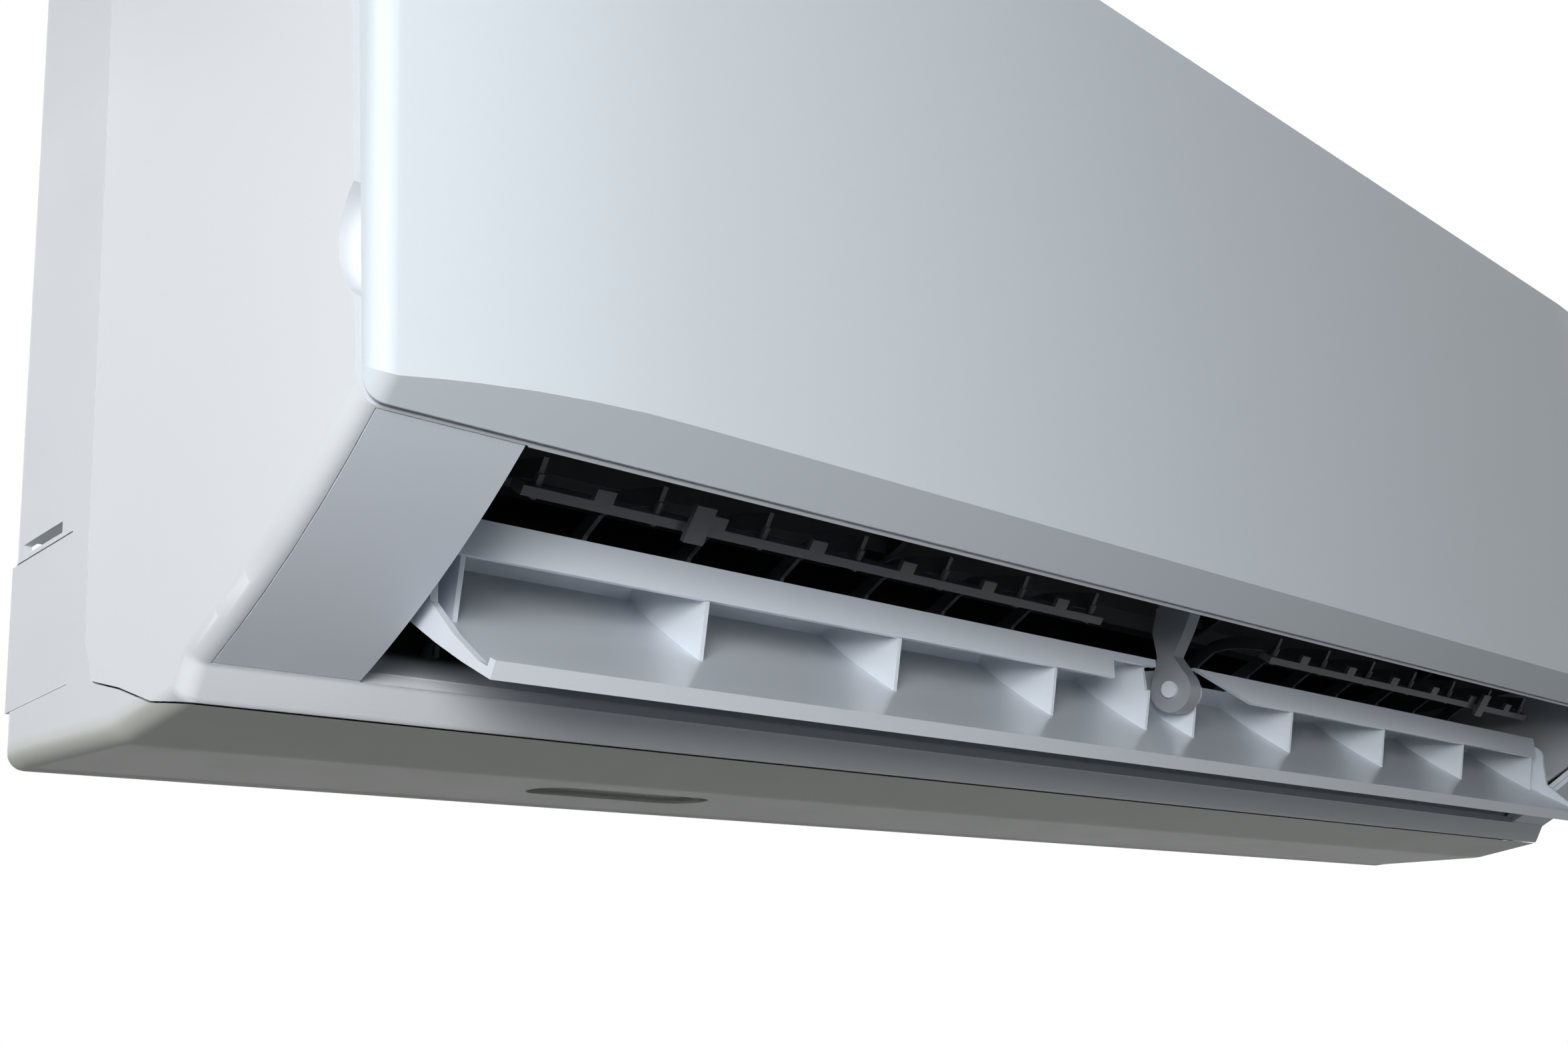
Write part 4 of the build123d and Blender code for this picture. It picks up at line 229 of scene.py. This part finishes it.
def shell_zones(surface):
    """How far a point lies in the painted shade inside the shell, and how far in the painted shade of the
    underside.
    """
    depth = surface.depth()
    back = depth * UNDERSIDE_BACK[1] + UNDERSIDE_BACK[0]
    front = depth * UNDERSIDE_FRONT[1] + UNDERSIDE_FRONT[0]
    above = surface.height() - back.most(front)
    from_middle = abs(surface.axis("X")) * MM_PER_M
    between = 1.0 - from_middle.rise(*BULKHEAD)
    before_recess = depth.rise(*DUCT_BACK)
    duct = above.rise(*DUCT_FLOOR) * before_recess * (1.0 - depth.rise(*DUCT_LIP)) * between
    chamber = above.rise(*CHAMBER_FLOOR) * before_recess * between
    end_wall = from_middle.rise(*END_WALL_INSIDE) * (1.0 - from_middle.rise(*END_WALL_OUTSIDE))
    end_wall = end_wall * above.rise(*END_WALL_FOOT) * depth.rise(*END_WALL_BACK)
    inside = duct.most(chamber).most(end_wall) * (1.0 - surface.height().rise(*INSIDE_TOP))
    return inside, 1.0 - above.rise(*UNDERSIDE_EDGE)


def shell_plastic(name, colour, underside_shade, inside_shade, roughness):
    """Shell plastic: painted shade underneath, tinted warm as a painted reflection, and dark painted shade
    in the air duct and inside the end walls.
    """
    surface = Surface(name, IOR=1.46, Specular_IOR_Level=0.25)
    inside, under = shell_zones(surface)
    cloud = surface.speckle(CLOUD_SCALE, detail=3.0)
    outer_skin = surface.mottled(cloud, colour, 0.02)
    # Painted shade and a warm painted reflection: the underside is coloured darker and warmer than the rest
    # of the shell.
    underside_shade_skin = surface.mottled(cloud, underside_shade, 0.03)
    # Painted shade: near black where shade falls in the duct, the chamber and inside the end walls.
    inside_shade_skin = surface.mottled(cloud, inside_shade, 0.1)
    surface.colour(surface.blend(inside, surface.blend(under, outer_skin, underside_shade_skin), inside_shade_skin))
    sheen(surface, roughness)
    surface.relief(surface.speckle(1300.0), 0.000012)
    return surface.material


DUST_COLOUR = (0.55, 0.54, 0.52)
DUST_THRESHOLD = 0.74
DUST_WEIGHT = 0.12


def gloss_plastic(name, colour, roughness, coat, shine=0.5):
    """Polished plastic with a very slight ripple and faint dust."""
    surface = Surface(name, Coat_Weight=coat, Coat_Roughness=0.05, IOR=1.49, Specular_IOR_Level=shine)
    cloud = surface.speckle(5.0)
    dust = surface.speckle(2600.0, detail=1.0) > DUST_THRESHOLD
    base = surface.blend(cloud, tint(colour, 0.985), tint(colour, 1.01))
    surface.colour(surface.blend(dust * DUST_WEIGHT, base, DUST_COLOUR))
    surface.uneven(roughness, surface.speckle(24.0, detail=5.0, roughness=0.65), 0.10)
    surface.relief(surface.speckle(160.0, detail=1.0), 0.000006)
    return surface.material


def zinc_sheet(name, colour):
    """Zinc-coated sheet with soft spangles and rolling lines."""
    surface = Surface(name, Metallic=1.0)
    cells = surface.node("ShaderNodeTexVoronoi", None, {"Vector": surface.place, "Scale": 130.0})
    spangle = Signal(surface, cells.outputs["Distance"])
    rolling = surface.speckle(300.0, stretch=(0.05, 1.0, 1.0))
    surface.colour(surface.blend(spangle, tint(colour, 0.86), tint(colour, 1.1)))
    surface.feed("Roughness", spangle * 0.18 + rolling * 0.12 + 0.26)
    surface.relief(surface.speckle(700.0, stretch=(0.08, 1.0, 1.0)), 0.00001)
    return surface.material


def turned_steel(name, colour):
    """Ground steel with fine lines round the shaft."""
    surface = Surface(name, Metallic=1.0)
    lines = surface.speckle(2400.0, stretch=(1.0, 0.1, 0.1))
    surface.colour(surface.blend(lines, tint(colour, 0.9), tint(colour, 1.08)))
    surface.feed("Roughness", lines * 0.15 + 0.22)
    surface.relief(lines, 0.000008)
    return surface.material


FINS_PER_M = 714.0
FIN_GAP = 0.45                          # share of a fin's pitch
FIN_SHADE = (0.05, 0.06, 0.065)


def fin_pack(name, colour):
    """Pack of thin fins that stand side by side along the unit."""
    surface = Surface(name)
    saw = (surface.axis("X") * FINS_PER_M).wave()
    gap = saw > FIN_GAP
    surface.colour(surface.blend(gap, colour, FIN_SHADE))
    surface.feed("Metallic", 1.0 - gap)
    surface.feed("Roughness", surface.speckle(80.0, detail=3.0) * 0.2 + 0.3)
    surface.relief(saw, 0.0004)
    return surface.material


def rubber(name, colour):
    """Dull rubber with a coarse skin."""
    surface = Surface(name)
    cloud = surface.speckle(120.0, detail=4.0)
    surface.colour(surface.blend(cloud, tint(colour, 0.8), tint(colour, 1.5)))
    surface.feed("Roughness", surface.speckle(60.0, detail=3.0) * 0.15 + 0.68)
    surface.relief(surface.speckle(1100.0, detail=3.0), 0.00003)
    return surface.material


THREADS_PER_M = 660.0
THREAD_WIDTH = 0.35                     # share of a mesh


def net(name, colour):
    """Fine net: threads crossing every millimetre and a half."""
    surface = Surface(name)
    across = (surface.axis("X") * THREADS_PER_M).wave()
    along = ((surface.axis("Z") - surface.axis("Y")) * THREADS_PER_M).wave()
    thread = (across < THREAD_WIDTH).most(along < THREAD_WIDTH)
    surface.colour(surface.blend(thread, tint(colour, 0.35), tint(colour, 1.2)))
    surface.feed("Roughness", thread * 0.2 + 0.45)
    surface.relief(thread, 0.0003)
    return surface.material


TRACKS_PER_M = (180.0, 140.0)
TRACK_WIDTHS = (0.4, 0.3)               # share of a pitch


def circuit_board(name, colour):
    """Lacquered board with raised tracks both ways."""
    surface = Surface(name)
    upright = (surface.axis("X") * TRACKS_PER_M[0]).wave() < TRACK_WIDTHS[0]
    level = (surface.axis("Z") * TRACKS_PER_M[1]).wave() < TRACK_WIDTHS[1]
    tracks = upright.most(level)
    surface.colour(surface.blend(tracks * surface.speckle(90.0), colour, tint(colour, 1.9)))
    surface.feed("Roughness", surface.speckle(200.0) * 0.2 + 0.3)
    surface.relief(tracks, 0.00005)
    return surface.material


def drawn_copper(name, colour, dark):
    """Drawn or turned copper alloy with stains."""
    surface = Surface(name, Metallic=1.0)
    stain = surface.speckle(45.0, detail=5.0, roughness=0.65)
    surface.colour(surface.blend(stain, colour, dark))
    surface.feed("Roughness", stain * 0.25 + 0.22)
    surface.relief(surface.speckle(900.0, stretch=(0.1, 1.0, 1.0)), 0.00001)
    return surface.material


FINISHES = {
    "panel_white": gloss_plastic(
        "panel gloss white", (0.76, 0.83, 0.90), roughness=0.38, coat=0.0, shine=0.2),
    "case_white": moulded_plastic(
        "case satin white", (0.79, 0.83, 0.88), 0.34, grain=1500.0, depth=0.000008, coat=0.15, mottle=0.015),
    "trim_white": moulded_plastic(
        "trim satin white", (0.78, 0.84, 0.94), 0.40, grain=1600.0, depth=0.00001, coat=0.1, mottle=0.015),
    # The chassis carries painted shade: a darker, warmer underside and a near-black inside.
    "chassis_white": shell_plastic(
        "chassis white", (0.79, 0.83, 0.88), underside_shade=(0.60, 0.62, 0.58), inside_shade=(0.030, 0.031, 0.034),
        roughness=0.42),
    "duct_grey": moulded_plastic("duct grey", (0.36, 0.38, 0.41), 0.42, grain=1300.0, coat=0.1),
    "louver_white": gloss_plastic("louver gloss white", (0.84, 0.90, 0.98), roughness=0.30, coat=0.2),
    "vane_grey": moulded_plastic(
        "vane grey", (0.085, 0.09, 0.10), 0.38, grain=1300.0, depth=0.00001, coat=0.15),
    "fan_dark": moulded_plastic("fan dark", (0.03, 0.03, 0.033), 0.5),
    "galvanised": zinc_sheet("zinc coated sheet", (0.62, 0.63, 0.64)),
    "motor_case": zinc_sheet("motor shell", (0.58, 0.59, 0.60)),
    "stepper_case": zinc_sheet("stepper shell", (0.66, 0.67, 0.68)),
    "steel_shaft": turned_steel("ground steel", (0.56, 0.56, 0.57)),
    "screw_steel": turned_steel("screw steel", (0.66, 0.66, 0.67)),
    "rubber_dark": rubber("dark rubber", (0.04, 0.04, 0.04)),
    "coil_fins": fin_pack("coil fins", (0.72, 0.76, 0.78)),
    "filter_mesh": net("filter net", (0.28, 0.31, 0.35)),
    "box_white": moulded_plastic("box white", (0.74, 0.74, 0.72), 0.5),
    "board_green": circuit_board("board green", (0.03, 0.16, 0.07)),
    "terminal_dark": moulded_plastic("terminal black", (0.05, 0.05, 0.055), 0.45),
    "button_white": moulded_plastic("button white", (0.76, 0.78, 0.80), 0.4),
    "copper": drawn_copper("drawn copper", (0.82, 0.45, 0.29), dark=(0.42, 0.20, 0.12)),
    "brass_nut": drawn_copper("machined brass", (0.80, 0.62, 0.32), dark=(0.50, 0.36, 0.16)),
}

for subpart in frame["record"]["subparts"]:
    for holder in frame["nodes"][subpart["node"]].material_slots:
        holder.material = FINISHES[subpart["material_slot"]]


# Stage ------------------------------------------------------------------------------
WHITE = (1.0, 1.0, 1.0)
BLACK = (0.0, 0.0, 0.0)
FLOOR_SIZE = 6.0                        # half its width in metres
FLOOR_HEIGHT = -1.2
FLOOR_PALE = ((0.78, 0.78, 0.78), (0.84, 0.84, 0.84))
FLOOR_BOUNCE = (0.15, 0.15, 0.15)       # what the floor throws back at the unit
FLOOR_GLOW = (0.25, 0.25, 0.25)
SKY_COLOUR = (0.78, 0.89, 1.0)
SKY_STRENGTH = 0.08

# Name, place, aim, width, height, watts, colour. The unit is lit mostly from the left, and more
# softly from its other sides.
LAMPS = (
    ("key", (-1.03, -0.82, -0.09), (-0.3, -0.15, -0.05), 0.45, 0.40, 9.3, (1.0, 0.99, 0.97)),
    ("upper", (-1.3, -0.7, 0.9), (-0.4, -0.1, 0.0), 0.7, 0.7, 1.2, (1.0, 0.99, 0.98)),
    ("fill", (0.9, -2.2, 0.7), (0.1, -0.1, 0.0), 1.6, 1.2, 0.6, (0.90, 0.95, 1.0)),
    ("rear", (-0.3, 1.9, 0.7), (0.0, 0.0, -0.02), 1.6, 1.2, 18.0, WHITE),
    ("right", (2.1, 0.35, 0.5), (0.42, -0.1, -0.02), 1.4, 1.2, 14.0, WHITE),
    ("top", (0.3, 0.5, 2.0), (0.0, -0.08, 0.1), 1.4, 1.0, 6.0, WHITE),
)


def set_lamp(name, place, aim, width, height, power, colour):
    lamp = bpy.data.lights.new(name, "AREA")
    lamp.shape = "RECTANGLE"
    lamp.size = width
    lamp.size_y = height
    lamp.energy = power
    lamp.color = colour
    holder = bpy.data.objects.new(name, lamp)
    holder.location = place
    holder.rotation_euler = (Vector(aim) - Vector(place)).to_track_quat("-Z", "Y").to_euler()
    bpy.context.scene.collection.objects.link(holder)


def set_floor():
    """Floor that looks pale but throws little light back."""
    bm = bmesh.new()
    bmesh.ops.create_grid(bm, x_segments=1, y_segments=1, size=FLOOR_SIZE)
    bmesh.ops.translate(bm, vec=(0.0, 0.0, FLOOR_HEIGHT), verts=bm.verts)
    mesh = bpy.data.meshes.new("floor")
    bm.to_mesh(mesh)
    bm.free()
    floor = bpy.data.objects.new("floor", mesh)
    bpy.context.scene.collection.objects.link(floor)
    surface = Surface("floor pale", Emission_Strength=1.0)
    grain = surface.speckle(3.0, detail=3.0)
    path = surface.node("ShaderNodeLightPath")
    rays = ("Is Camera Ray", "Is Glossy Ray", "Is Transmission Ray")
    by_eye, by_gloss, through = (Signal(surface, path.outputs[ray]) for ray in rays)
    seen = by_eye.most(by_gloss).most(through)
    surface.colour(surface.blend(seen, FLOOR_BOUNCE, surface.blend(grain, *FLOOR_PALE)))
    surface.tree.links.new(surface.blend(seen, BLACK, FLOOR_GLOW), surface.shader.inputs["Emission Color"])
    surface.feed("Roughness", grain * 0.1 + 0.7)
    floor.data.materials.append(surface.material)


def set_sky():
    """White where it is seen, mirrored or looked through, and a dim cool light elsewhere."""
    world = bpy.context.scene.world or bpy.data.worlds.new("studio")
    bpy.context.scene.world = world
    world.use_nodes = True
    tree = world.node_tree
    tree.nodes.clear()
    output = tree.nodes.new("ShaderNodeOutputWorld")
    mix = tree.nodes.new("ShaderNodeMixShader")
    ambient = tree.nodes.new("ShaderNodeBackground")
    ambient.inputs["Color"].default_value = (*SKY_COLOUR, 1.0)
    ambient.inputs["Strength"].default_value = SKY_STRENGTH
    backdrop = tree.nodes.new("ShaderNodeBackground")
    backdrop.inputs["Color"].default_value = (*WHITE, 1.0)
    backdrop.inputs["Strength"].default_value = 1.0
    path = tree.nodes.new("ShaderNodeLightPath")
    seen = tree.nodes.new("ShaderNodeMath")
    seen.operation = "MAXIMUM"
    tree.links.new(path.outputs["Is Camera Ray"], seen.inputs[0])
    tree.links.new(path.outputs["Is Transmission Ray"], seen.inputs[1])
    mirrored = tree.nodes.new("ShaderNodeMath")
    mirrored.operation = "MAXIMUM"
    tree.links.new(seen.outputs[0], mirrored.inputs[0])
    tree.links.new(path.outputs["Is Glossy Ray"], mirrored.inputs[1])
    tree.links.new(mirrored.outputs[0], mix.inputs[0])
    tree.links.new(ambient.outputs[0], mix.inputs[1])
    tree.links.new(backdrop.outputs[0], mix.inputs[2])
    tree.links.new(mix.outputs[0], output.inputs[0])


set_floor()
set_sky()
for lamp_values in LAMPS:
    set_lamp(*lamp_values)

bpy.context.scene.view_settings.view_transform = "Standard"
